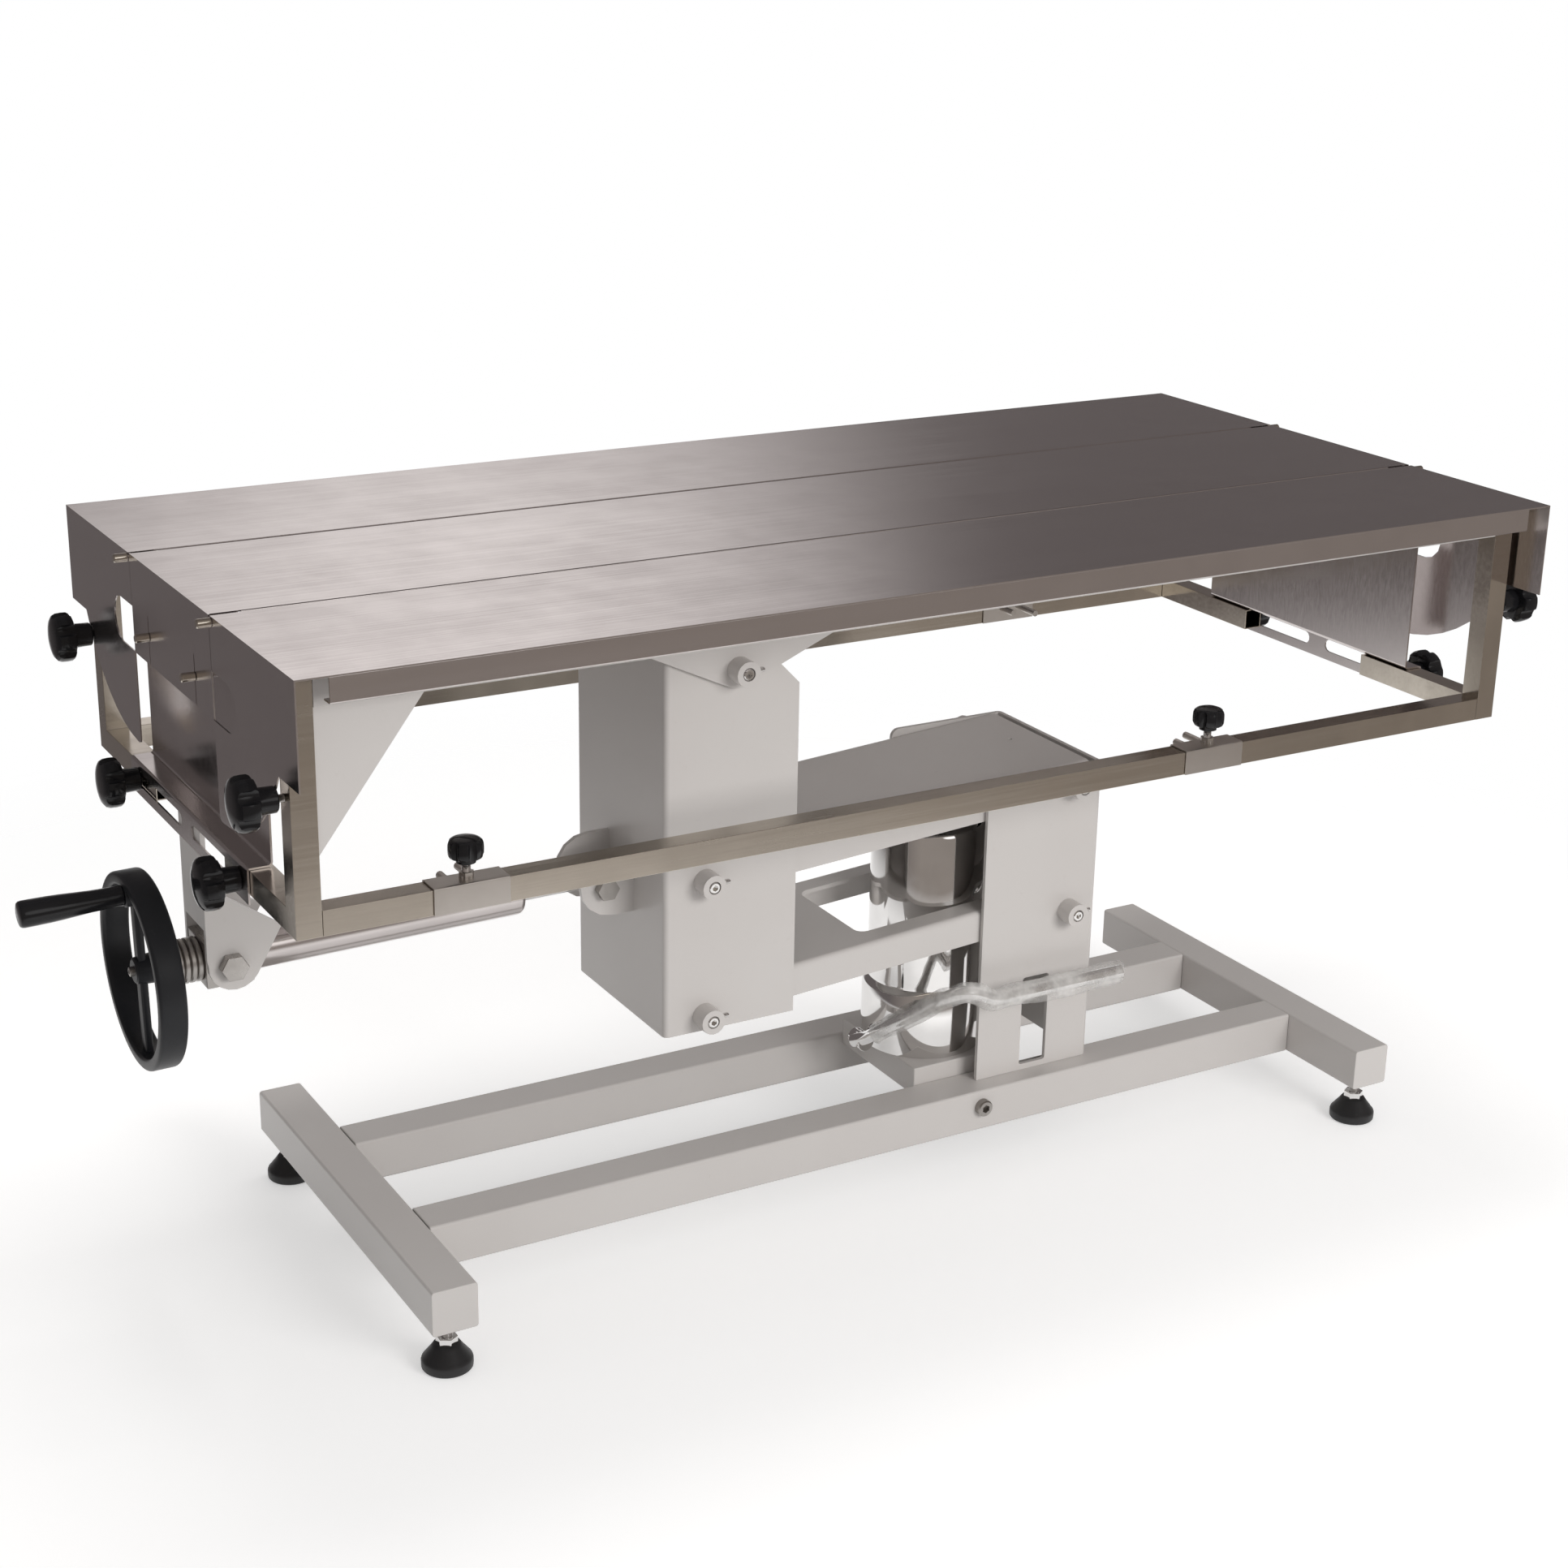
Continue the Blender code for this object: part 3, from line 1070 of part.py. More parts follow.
def sleeves():
    """Saddles on the long rails, each with a welded nut, two cleat pins and a clamping knob."""
    seat = RAIL_TOP + SEAT_GAP
    outer_z = seat + SHEET
    knob = star_knob(SMALL_KNOB_RADIUS, SMALL_KNOB_HEAD, SMALL_KNOB_NECK_RADIUS, SMALL_KNOB_NECK,
                     KNOB_STUD_RADIUS, SMALL_KNOB_SEAT - 2 * SEAT_GAP)
    low_y = LEG_INNER_Y - SLEEVE_PLAY - SHEET
    high_y = FRAME_Y + SLEEVE_PLAY + SHEET
    middle_y = (LEG_INNER_Y + FRAME_Y) / 2
    for name, (side, x) in SLEEVES.items():
        home = assembly("sleeve_slide_" + name, (x, side * middle_y, RAIL_TOP), TILT_HOME)
        path = [(low_y, FRAME_BOTTOM), (low_y, outer_z), (high_y, outer_z), (high_y, FRAME_BOTTOM)]
        outline = ribbon(fillet(path, SHEET_BEND, 2, closed=False), SHEET)
        half = SLEEVE_LENGTH / 2
        sleeve = extrusion("saddle", [mirrored(outline, side)], "x", x - half, x + half)
        centre = (x, side * middle_y)
        join(sleeve, extrusion("weld_nut", [hexagon(centre, SLEEVE_NUT_RADIUS)], "z", outer_z - SHEET / 2,
                               outer_z + SLEEVE_NUT))
        cut(sleeve, rod("nut_bore", (*centre, seat - SHEET), (*centre, outer_z + SLEEVE_NUT + SHEET),
                        KNOB_STUD_RADIUS + SEAT_GAP, segments=SMALL_SIDES))
        for offset, length in CLEATS:
            z = RAIL_TOP - CLEAT_DROP
            join(sleeve, rod("cleat_pin", (x + offset, side * (low_y + SHEET / 2), z),
                             (x + offset, side * (low_y - length), z), CLEAT_RADIUS, segments=SMALL_SIDES))
        finish_node(sleeve, "sleeve_" + name, "stainless_tube", home)
        copy = knob.copy()
        place = Vector((*centre, RAIL_TOP + SMALL_KNOB_SEAT))
        copy.transform(Matrix.Translation(place))
        finish_node(link_mesh("small_knob", copy), "sleeve_knob_" + name, "black_plastic", home, place)


def screw_frame():
    """The matrix that lays a shape drawn along X from the block's middle along the tilt screw."""
    return Matrix.Translation((SCREW_X, 0, SCREW_Z)) @ Matrix.Rotation(-SCREW_SLOPE, 4, "Y")


def along_screw(solid):
    """Stand a shape turned about Z along the screw, its heights measured towards the column."""
    solid.data.transform(screw_frame() @ DIRECTIONS["x"].to_track_quat("Z", "Y").to_matrix().to_4x4())
    return solid


def clevis():
    """The white bracket under the left cradle that holds the screw block between its plates."""
    web_x = CRADLE_LIP_X - CRADLE_SHEET - SEAT_GAP
    web_inner = web_x - CHANNEL_PLATE
    outer = CLEVIS_HALF_GAP + CLEVIS_PLATE
    web_top = CRADLE_FLANGE - CRADLE_SHEET - CRADLE_BEND
    web = box("clevis_web", (-web_x, -web_inner), (-outer, outer), (CLEVIS_WEB_BOTTOM, web_top))
    outline = [(SCREW_X + CLEVIS_INNER[0], SCREW_Z + CLEVIS_INNER[1]),
               (CLEVIS_SHOULDER[0] - web_x, SCREW_Z + CLEVIS_SHOULDER[1]),
               (-web_x, SCREW_Z + CLEVIS_CORNERS[1]), (-web_x, SCREW_Z + CLEVIS_CORNERS[0])]
    outline += arc((SCREW_X + CLEVIS_NOSE_SHIFT, SCREW_Z), CLEVIS_RADIUS, 175, 328, 8)
    for side in SIDES.values():
        low, high = sorted((side * CLEVIS_HALF_GAP, side * outer))
        join(web, extrusion("clevis_plate", [outline], "y", low, high))
    cut(web, cross_rod("trunnion_bore", (SCREW_X, SCREW_Z), outer + OVERSHOOT, TRUNNION_RADIUS + SEAT_GAP))
    finish_node(web, "clevis", "white_enamel", TILT_HOME)
    for side_name, side in SIDES.items():
        face = outer + SEAT_GAP
        place = (SCREW_X, SCREW_Z)
        bolt = rod("trunnion", (SCREW_X, side * TRUNNION_DEPTH, SCREW_Z), (SCREW_X, side * (face + TRUNNION_ROOT), SCREW_Z),
                   TRUNNION_RADIUS)
        low, high = sorted((side * face, side * (face + TRUNNION_HEAD)))
        join(bolt, extrusion("trunnion_head", [hexagon(place, TRUNNION_HEX)], "y", low, high))
        finish_node(bolt, "clevis_bolt_" + side_name, "zinc_steel", TILT_HOME, (SCREW_X, 0, SCREW_Z))


def screw_block():
    """The block that swings in the clevis, with the stack of thrust washers on its outer face."""
    half = BLOCK_SIZE / 2
    block = box("block", (-half, half), (-BLOCK_HALF_WIDTH, BLOCK_HALF_WIDTH), (-half, half))
    block.data.transform(screw_frame())
    inner = WASHER_RADIUS - WASHER_EDGE
    profile = [(0.0, WASHER_GROOVE - half), (inner, WASHER_GROOVE - half)]
    for index in range(WASHER_COUNT):
        near = -half - index * WASHER_PITCH
        far = near - WASHER_PITCH
        profile += [(inner, near), (WASHER_RADIUS, near - WASHER_GROOVE), (WASHER_RADIUS, far + WASHER_GROOVE)]
    last = -half - WASHER_COUNT * WASHER_PITCH
    profile += [(inner, last), (0.0, last)]
    join(block, along_screw(turned("washers", profile, False, segments=BOSS_SIDES)))
    bore = rod("shaft_bore", (last - OVERSHOOT, 0, 0), (half + OVERSHOOT, 0, 0), SHAFT_RADIUS + RUNNING_FIT)
    bore.data.transform(screw_frame())
    cut(block, bore)
    cut(block, cross_rod("trunnion_bore", (SCREW_X, SCREW_Z), BLOCK_HALF_WIDTH + OVERSHOOT, TRUNNION_RADIUS + RUNNING_FIT))
    finish_node(block, "screw_block", "zinc_steel", BLOCK_HOME)


def screw_tube():
    """The hollow tube fixed to the block, which the rod slides into."""
    start = BLOCK_SIZE / 2 + SEAT_GAP
    inner = SCREW_TUBE_RADIUS - SCREW_TUBE_WALL
    shaft = SHAFT_RADIUS + SEAT_GAP
    rounding = SCREW_TUBE_ROUNDING
    end = arc((SCREW_TUBE_RADIUS - rounding, SCREW_TUBE_END - rounding), rounding, 90, 0, 3)
    profile = [(SCREW_TUBE_MOUTH, SCREW_TUBE_END)] + end
    profile += [(SCREW_TUBE_RADIUS, start), (shaft, start), (shaft, start + SCREW_TUBE_FOOT), (inner, start + SCREW_TUBE_FOOT),
                (inner, SCREW_TUBE_END - SCREW_TUBE_CAP), (SCREW_TUBE_MOUTH, SCREW_TUBE_END - SCREW_TUBE_CAP)]
    tube = along_screw(turned("tube", profile, True, segments=PIN_SIDES))
    finish_node(tube, "screw_tube", "stainless_sheet", BLOCK_HOME)


def screw_rod():
    """The rod that pushes on the column, with its eye on the lug bolt."""
    distance = math.hypot(LUG_X - SCREW_X, LUG_Z - SCREW_Z)
    start = distance - ROD_LENGTH
    root = distance - ROD_EYE_ROOT
    profile = [(0.0, root), (ROD_RADIUS, root), (ROD_RADIUS, start + ROD_CHAMFER), (ROD_RADIUS - ROD_CHAMFER, start),
               (0.0, start)]
    bar = along_screw(turned("rod_bar", profile, False, segments=PIN_SIDES))
    eye = cross_rod("rod_eye", (LUG_X, LUG_Z), ROD_EYE_HALF_WIDTH, ROD_EYE_RADIUS)
    join(bar, eye)
    cut(bar, cross_rod("rod_bore", (LUG_X, LUG_Z), ROD_EYE_HALF_WIDTH + OVERSHOOT, LUG_BOLT_RADIUS + RUNNING_FIT))
    finish_node(bar, "screw_rod", "polished_chrome", ROD_HOME)


def handwheel():
    """The handwheel: a flat banded rim, two thin spokes, the hub and its shaft."""
    low, high = RIM_FACES
    inner = WHEEL_RADIUS - RIM_THICKNESS
    edge = RIM_EDGE
    profile = arc((WHEEL_RADIUS - edge, high - edge), edge, 90, 0, 1)
    profile += arc((WHEEL_RADIUS - edge, low + edge), edge, 0, -90, 1)
    profile += [(inner, low), (inner, high)]
    wheel = along_screw(turned("rim", profile, True, segments=RIM_SIDES))
    frame = screw_frame()
    for direction in (-1, 1):
        spoke = box("spoke", SPOKE_FACES, (-SPOKE_WIDTH / 2, SPOKE_WIDTH / 2),
                    sorted((0.0, direction * (inner + RIM_THICKNESS / 2))))
        spoke.data.transform(frame)
        join(wheel, spoke)
    hub = rod("hub", (HUB_FACES[0], 0, 0), (HUB_FACES[1], 0, 0), HUB_RADIUS * HUB_TAPER, HUB_RADIUS,
              segments=BOSS_SIDES)
    hub.data.transform(frame)
    join(wheel, hub)
    shaft = rod("shaft", (HUB_FACES[0] - SHAFT_PROUD, 0, 0), (SHAFT_END, 0, 0), SHAFT_RADIUS)
    shaft.data.transform(frame)
    join(wheel, shaft)
    boss = rod("crank_boss", (low, 0, CRANK_RADIUS), (high, 0, CRANK_RADIUS), CRANK_BOSS, segments=BOSS_SIDES)
    boss.data.transform(frame)
    join(wheel, boss)
    bore = rod("spindle_bore", (low - OVERSHOOT, 0, CRANK_RADIUS), (low + HANDLE_SPINDLE + SPINDLE_END_GAP, 0, CRANK_RADIUS),
               HANDLE_SPINDLE_RADIUS + SEAT_GAP, segments=SMALL_SIDES)
    bore.data.transform(frame)
    cut(wheel, bore)
    wheel_place = frame @ Vector(((low + high) / 2, 0, 0))
    home = assembly("handwheel_spin", wheel_place, BLOCK_HOME)
    finish_node(wheel, "handwheel", "black_plastic", home)
    crank_handle(home)


def crank_handle(home):
    """The handle that turns on its spindle in the rim."""
    root = RIM_FACES[0] - SEAT_GAP
    tip = root - HANDLE_LENGTH
    spindle = root + HANDLE_SPINDLE
    profile = [(0.0, spindle), (HANDLE_SPINDLE_RADIUS, spindle), (HANDLE_SPINDLE_RADIUS, root),
               (HANDLE_ROOT_RADIUS, root), (HANDLE_ROOT_RADIUS, root - HANDLE_COLLAR),
               (HANDLE_ROOT_RADIUS + HANDLE_WAIST[1], root - HANDLE_WAIST[0] * HANDLE_LENGTH),
               (HANDLE_END_RADIUS - HANDLE_SWELL[1], root - HANDLE_SWELL[0] * HANDLE_LENGTH)]
    profile += arc((HANDLE_END_RADIUS - HANDLE_ROUNDING, tip + HANDLE_ROUNDING), HANDLE_ROUNDING, 0, -90, 2)
    profile += [(0.0, tip)]
    handle = turned("handle", profile, False, segments=BOSS_SIDES)
    handle.data.transform(screw_frame() @ Matrix.Translation((0, 0, CRANK_RADIUS))
                          @ DIRECTIONS["x"].to_track_quat("Z", "Y").to_matrix().to_4x4())
    finish_node(handle, "crank_handle", "black_plastic", home, screw_frame() @ Vector((root, 0, CRANK_RADIUS)))


def pump():
    """The chrome pump on its tray and the ram that rises from it."""
    bottom = TRAY_Z[1] + SEAT_GAP
    bore = RAM_RADIUS + RUNNING_FIT
    shoulder = arc((PUMP_RADIUS - PUMP_SHOULDER, PUMP_TOP - PUMP_SHOULDER), PUMP_SHOULDER, 90, 0, 3)
    profile = [(bore, PUMP_TOP)] + shoulder
    inner = PUMP_RADIUS - PUMP_WALL
    profile += [(PUMP_RADIUS, SKIRT_TOP), (SKIRT_RADIUS, SKIRT_TOP - PUMP_WALL), (SKIRT_RADIUS, bottom),
                (inner, bottom), (inner, PUMP_TOP - 2 * PUMP_WALL), (RAM_GUIDE, PUMP_TOP - 2 * PUMP_WALL),
                (RAM_GUIDE, RAM_GUIDE_BOTTOM), (bore, RAM_GUIDE_BOTTOM)]
    body = turned("pump_shell", profile, True)
    body.data.transform(Matrix.Translation((PUMP_X, 0, 0)))
    ear_low = LEVER_HUB_HALF + SEAT_GAP
    window_low = PUMP_X - SKIRT_RADIUS - LEVER_WINDOW_START
    cut(body, box("lever_window", (window_low, window_low + LEVER_WINDOW_DEPTH), (-ear_low, ear_low - LEVER_WINDOW_SIDE),
                  (bottom - OVERSHOOT, LEVER_Z + LEVER_WINDOW_TOP)))
    ear = box("lever_ear", (LEVER_X - LEVER_EAR_REACH, PUMP_X - SKIRT_RADIUS + LEVER_EAR_ROOT),
              (ear_low, ear_low + LEVER_EAR), (bottom, LEVER_Z + LEVER_EAR_TOP))
    join(body, ear)
    pin_end = ear_low + LEVER_EAR + OVERSHOOT
    cut(body, rod("lever_bore", (LEVER_X, ear_low - OVERSHOOT, LEVER_Z), (LEVER_X, pin_end, LEVER_Z),
                  LEVER_PIN_RADIUS + RUNNING_FIT))
    finish_node(body, "pump_body", "polished_chrome", ROOT)
    roller = arm_frame(PEDESTAL_PIVOTS["upper"]) @ Vector((-ROLLER_REACH, 0, -ROLLER_DROP))
    top = roller.z - ROLLER_RADIUS - SEAT_GAP
    profile = [(0.0, top), (RAM_HEAD_RADIUS, top), (RAM_HEAD_RADIUS, top - RAM_HEAD), (RAM_RADIUS, top - RAM_HEAD),
               (RAM_RADIUS, RAM_BOTTOM), (0.0, RAM_BOTTOM)]
    ram = turned("ram", profile, False, segments=PIN_SIDES)
    ram.data.transform(Matrix.Translation((PUMP_X, 0, 0)))
    finish_node(ram, "pump_ram", "polished_chrome", RAM_HOME)


def pedal():
    """The pump lever and the clear film that it is still wrapped in."""
    path = fillet(LEVER_PATH, LEVER_BEND, 5, closed=False)
    lever = swept("lever_bar", path, LEVER_RADIUS)
    hub_end = LEVER_HUB_HALF
    join(lever, rod("lever_hub", (LEVER_X, -hub_end, LEVER_Z), (LEVER_X, hub_end, LEVER_Z), LEVER_HUB_RADIUS))
    join(lever, rod("lever_pin", (LEVER_X, 0, LEVER_Z), (LEVER_X, hub_end + LEVER_EAR + LEVER_PIN_END, LEVER_Z),
                    LEVER_PIN_RADIUS))
    finish_node(lever, "pedal_lever", "polished_chrome", LEVER_HOME)
    wrapped = [FILM_START] + [point for point in path if point[2] > FILM_START[2] and point[0] < FILM_END_X]
    wrapped += [(FILM_END_X, *path[-1][1:])]
    film = swept("film", wrapped, FILM_OUTSIDE)
    stretched = [extended(wrapped[1], wrapped[0])] + wrapped[1:-1] + [extended(wrapped[-2], wrapped[-1])]
    cut(film, swept("film_inside", stretched, FILM_INSIDE))
    finish_node(film, "lever_film", "clear_film", LEVER_HOME)


def extended(before, last):
    """The last point of a path, moved a little further on."""
    step = (Vector(last) - Vector(before)).normalized() * OVERSHOOT
    return tuple(Vector(last) + step)


base_frame()
feet()
pump_tray()
pedestal()
upper_arm()
lower_arm()
column()
lug_bolt()
tilt_frame()
end_frames()
side_rails()
for end_label, end_sign in ENDS.items():
    cradle(end_label, end_sign)
side_panel("near", SIDES["near"], NEAR_PANEL_HOME)
side_panel("far", SIDES["far"], FAR_PANEL_HOME)
middle_panel()
end_knobs()
sleeves()
clevis()
screw_block()
screw_tube()
screw_rod()
handwheel()
pump()
pedal()
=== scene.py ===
"""The operating table as it looks: finished pieces set over the CAD frame, with light and camera.

Lengths are in metres in the row frame: X along the top, Y across it and Z up from the floor.
"""
import json
import math

import bpy
from mathutils import Matrix, Vector

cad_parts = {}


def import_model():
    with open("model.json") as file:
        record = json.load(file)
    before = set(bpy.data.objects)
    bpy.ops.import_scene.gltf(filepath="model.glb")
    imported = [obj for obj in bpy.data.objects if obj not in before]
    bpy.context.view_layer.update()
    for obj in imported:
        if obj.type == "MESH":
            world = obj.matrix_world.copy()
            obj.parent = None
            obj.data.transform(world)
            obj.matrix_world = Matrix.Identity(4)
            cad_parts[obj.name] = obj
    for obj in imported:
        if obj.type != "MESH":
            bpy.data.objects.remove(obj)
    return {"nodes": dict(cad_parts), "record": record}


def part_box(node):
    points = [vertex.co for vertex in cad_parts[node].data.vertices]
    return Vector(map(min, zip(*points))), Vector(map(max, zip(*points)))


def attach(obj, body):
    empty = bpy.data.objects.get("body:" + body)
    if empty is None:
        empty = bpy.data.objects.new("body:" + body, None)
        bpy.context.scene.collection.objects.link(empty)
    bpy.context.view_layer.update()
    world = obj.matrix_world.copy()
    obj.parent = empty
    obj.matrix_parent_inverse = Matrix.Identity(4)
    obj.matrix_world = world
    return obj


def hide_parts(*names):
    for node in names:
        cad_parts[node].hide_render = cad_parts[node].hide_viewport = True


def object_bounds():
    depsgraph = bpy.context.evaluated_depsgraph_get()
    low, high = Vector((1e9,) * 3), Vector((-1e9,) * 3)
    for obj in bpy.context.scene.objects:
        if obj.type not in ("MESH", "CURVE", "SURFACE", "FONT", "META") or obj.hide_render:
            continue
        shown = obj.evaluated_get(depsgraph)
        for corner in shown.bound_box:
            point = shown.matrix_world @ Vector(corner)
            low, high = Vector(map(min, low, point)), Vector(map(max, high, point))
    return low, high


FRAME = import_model()
CAD_LOW, CAD_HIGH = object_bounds()
BODY_OF = {node: body for body, nodes in FRAME["record"]["behaviour"]["bodies"].items() for node in nodes}
SIDES = {"near": -1, "far": 1}
ENDS = {"left": -1, "right": 1}
X, Y, Z = Vector((1, 0, 0)), Vector((0, 1, 0)), Vector((0, 0, 1))


def middle(node):
    """The middle of a CAD node's box."""
    low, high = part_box(node)
    return (low + high) / 2


MIDDLE_X = middle("panel_middle").x
FLOOR_Z = CAD_LOW.z

# Selection and editing


def only(piece):
    """Select one object and nothing else."""
    bpy.ops.object.select_all(action="DESELECT")
    piece.select_set(True)
    bpy.context.view_layer.objects.active = piece
    return piece


def edit(piece):
    """Go into edit mode with everything selected."""
    only(piece)
    bpy.ops.object.mode_set(mode="EDIT")
    bpy.ops.mesh.select_all(action="SELECT")


def leave():
    bpy.ops.object.mode_set(mode="OBJECT")


def applied(piece, kind, **settings):
    """Give a piece a modifier with these settings and apply it."""
    modifier = piece.modifiers.new(kind.lower(), kind)
    for name, value in settings.items():
        setattr(modifier, name, value)
    only(piece)
    bpy.ops.object.modifier_apply(modifier=modifier.name)
    return piece


def rounded(piece, width, segments=2, angle=35):
    """Round the sharp edges of a piece."""
    return applied(piece, "BEVEL", width=width, segments=segments, limit_method="ANGLE",
                   angle_limit=math.radians(angle), use_clamp_overlap=True, miter_outer="MITER_ARC")


def smooth(piece, angle=32):
    """Shade a piece smooth between its sharp edges."""
    only(piece)
    bpy.ops.object.shade_smooth_by_angle(angle=math.radians(angle))
    return piece


def cut(piece, tool):
    """Take a tool's shape out of a piece."""
    applied(piece, "BOOLEAN", operation="DIFFERENCE", solver="EXACT", object=tool)
    bpy.data.objects.remove(tool, do_unlink=True)
    return piece


def join(piece, tool):
    """Fuse a second shape into a piece."""
    applied(piece, "BOOLEAN", operation="UNION", solver="EXACT", object=tool)
    bpy.data.objects.remove(tool, do_unlink=True)
    return piece


def stand(piece, place, direction=Z):
    """Turn a piece drawn up the Z axis to a direction, set it in its place and apply both."""
    piece.rotation_mode = "QUATERNION"
    piece.rotation_quaternion = Vector(direction).to_track_quat("Z", "Y")
    piece.location = place
    only(piece)
    bpy.ops.object.transform_apply(location=True, rotation=True, scale=True)
    return piece


def laid(piece, turn):
    """Move a shape that sits at the origin by a matrix and apply it."""
    piece.matrix_world = turn
    only(piece)
    bpy.ops.object.transform_apply(location=True, rotation=True, scale=True)
    return piece


def quarter(axis, turns=1):
    """A matrix for quarter turns about an axis."""
    return Matrix.Rotation(turns * math.pi / 2, 4, axis)


def copied(piece, name):
    """A second piece with its own mesh."""
    twin = piece.copy()
    twin.data = piece.data.copy()
    twin.name = name
    bpy.context.scene.collection.objects.link(twin)
    return twin


def finished(piece, name, body, material, slot, *nodes):
    """Name a piece, give it its material and hang it on its body in place of its CAD nodes."""
    piece.name = name
    piece.data.name = name
    piece.data.materials.clear()
    piece.data.materials.append(material)
    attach(piece, body)
    if nodes:
        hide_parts(*nodes)
    return piece


def turned(rings, sides=64):
    """A turned shape: a disc pulled up the Z axis through rings of (height, radius)."""
    height, radius = rings[0]
    bpy.ops.object.select_all(action="DESELECT")
    bpy.ops.mesh.primitive_circle_add(vertices=sides, radius=radius, fill_type="NGON", location=(0, 0, 0))
    piece = bpy.context.object
    edit(piece)
    bpy.ops.transform.translate(value=(0, 0, height))
    for next_height, next_radius in rings[1:]:
        bpy.ops.mesh.extrude_region_move(TRANSFORM_OT_translate={"value": (0, 0, next_height - height)})
        ratio = next_radius / radius
        bpy.ops.transform.resize(value=(ratio, ratio, 1), center_override=(0, 0, next_height))
        height, radius = next_height, next_radius
    bpy.ops.mesh.select_all(action="SELECT")
    bpy.ops.mesh.normals_make_consistent(inside=False)
    leave()
    return smooth(piece)


def spun_ring(inner, outer, low, high, corner, steps=96, corner_steps=3):
    """A ring about the Z axis with a rounded rectangular section, made by a spin."""
    bpy.ops.object.select_all(action="DESELECT")
    bpy.ops.mesh.primitive_plane_add(size=1, location=(0, 0, 0))
    piece = bpy.context.object
    edit(piece)
    bpy.ops.transform.resize(value=(outer - inner, high - low, 1))
    if corner:
        bpy.ops.mesh.bevel(offset=corner, affect="VERTICES", segments=corner_steps)
    bpy.ops.mesh.select_all(action="SELECT")
    bpy.ops.mesh.delete(type="ONLY_FACE")
    leave()
    laid(piece, Matrix.Translation(((inner + outer) / 2, 0, (low + high) / 2)) @ quarter("X"))
    edit(piece)
    bpy.ops.mesh.spin(steps=steps, angle=2 * math.pi, center=(0, 0, 0), axis=(0, 0, 1))
    bpy.ops.mesh.select_all(action="SELECT")
    bpy.ops.mesh.remove_doubles(threshold=0.00001)
    bpy.ops.mesh.normals_make_consistent(inside=False)
    leave()
    return smooth(piece)


def block(low, high):
    """A box between two corners, the start of a plate or a bar."""
    bpy.ops.object.select_all(action="DESELECT")
    low, high = Vector(low), Vector(high)
    bpy.ops.mesh.primitive_cube_add(size=1, location=(low + high) / 2)
    piece = bpy.context.object
    piece.scale = high - low
    bpy.ops.object.transform_apply(location=True, rotation=True, scale=True)
    return piece


def prism(sides, radius, low, high, turn=0.0):
    """A straight prism up the Z axis, such as a nut's hexagon or a slot's end."""
    bpy.ops.object.select_all(action="DESELECT")
    bpy.ops.mesh.primitive_cylinder_add(vertices=sides, radius=radius, depth=high - low,
                                        rotation=(0, 0, turn), location=(0, 0, (low + high) / 2))
    piece = bpy.context.object
    bpy.ops.object.transform_apply(location=True, rotation=True, scale=True)
    return piece


# Shader groups shared by the materials


def new_group(name, inputs, outputs):
    """An empty shader group with named sockets, its input node and its output node."""
    group = bpy.data.node_groups.new(name, "ShaderNodeTree")
    for label, kind, value in inputs:
        item = group.interface.new_socket(name=label, in_out="INPUT", socket_type="NodeSocket" + kind)
        if value is not None:
            item.default_value = value
    for label, kind in outputs:
        group.interface.new_socket(name=label, in_out="OUTPUT", socket_type="NodeSocket" + kind)
    return group, group.nodes.new("NodeGroupInput"), group.nodes.new("NodeGroupOutput")


def add_node(tree, kind, **settings):
    """A node with attributes and input values set by name."""
    node = tree.nodes.new(kind)
    for name, value in settings.items():
        if hasattr(node, name):
            setattr(node, name, value)
        else:
            node.inputs[name.replace("_", " ")].default_value = value
    return node


def noise(tree, vector, scale, detail=2.0, roughness=0.5):
    node = add_node(tree, "ShaderNodeTexNoise")
    node.inputs["Scale"].default_value = scale
    node.inputs["Detail"].default_value = detail
    node.inputs["Roughness"].default_value = roughness
    tree.links.new(vector, node.inputs["Vector"])
    return node.outputs["Fac"]


def spread(tree, value, from_low, from_high, to_low, to_high):
    """Map a value from one range to another; a bound may be a socket."""
    node = add_node(tree, "ShaderNodeMapRange")
    tree.links.new(value, node.inputs["Value"])
    bounds = (("From Min", from_low), ("From Max", from_high), ("To Min", to_low), ("To Max", to_high))
    for label, bound in bounds:
        if isinstance(bound, bpy.types.NodeSocket):
            tree.links.new(bound, node.inputs[label])
        else:
            node.inputs[label].default_value = bound
    return node.outputs["Result"]


def blended(tree, amount, first, second):
    """A colour between two; each may be a socket or a colour."""
    node = add_node(tree, "ShaderNodeMix", data_type="RGBA")
    tree.links.new(amount, node.inputs["Factor"])
    for socket, colour in ((node.inputs[6], first), (node.inputs[7], second)):
        if isinstance(colour, bpy.types.NodeSocket):
            tree.links.new(colour, socket)
        else:
            socket.default_value = (*colour, 1.0)
    return node.outputs[2]


def added(tree, first, second):
    node = add_node(tree, "ShaderNodeMath", operation="ADD")
    for index, value in enumerate((first, second)):
        tree.links.new(value, node.inputs[index])
    return node.outputs[0]


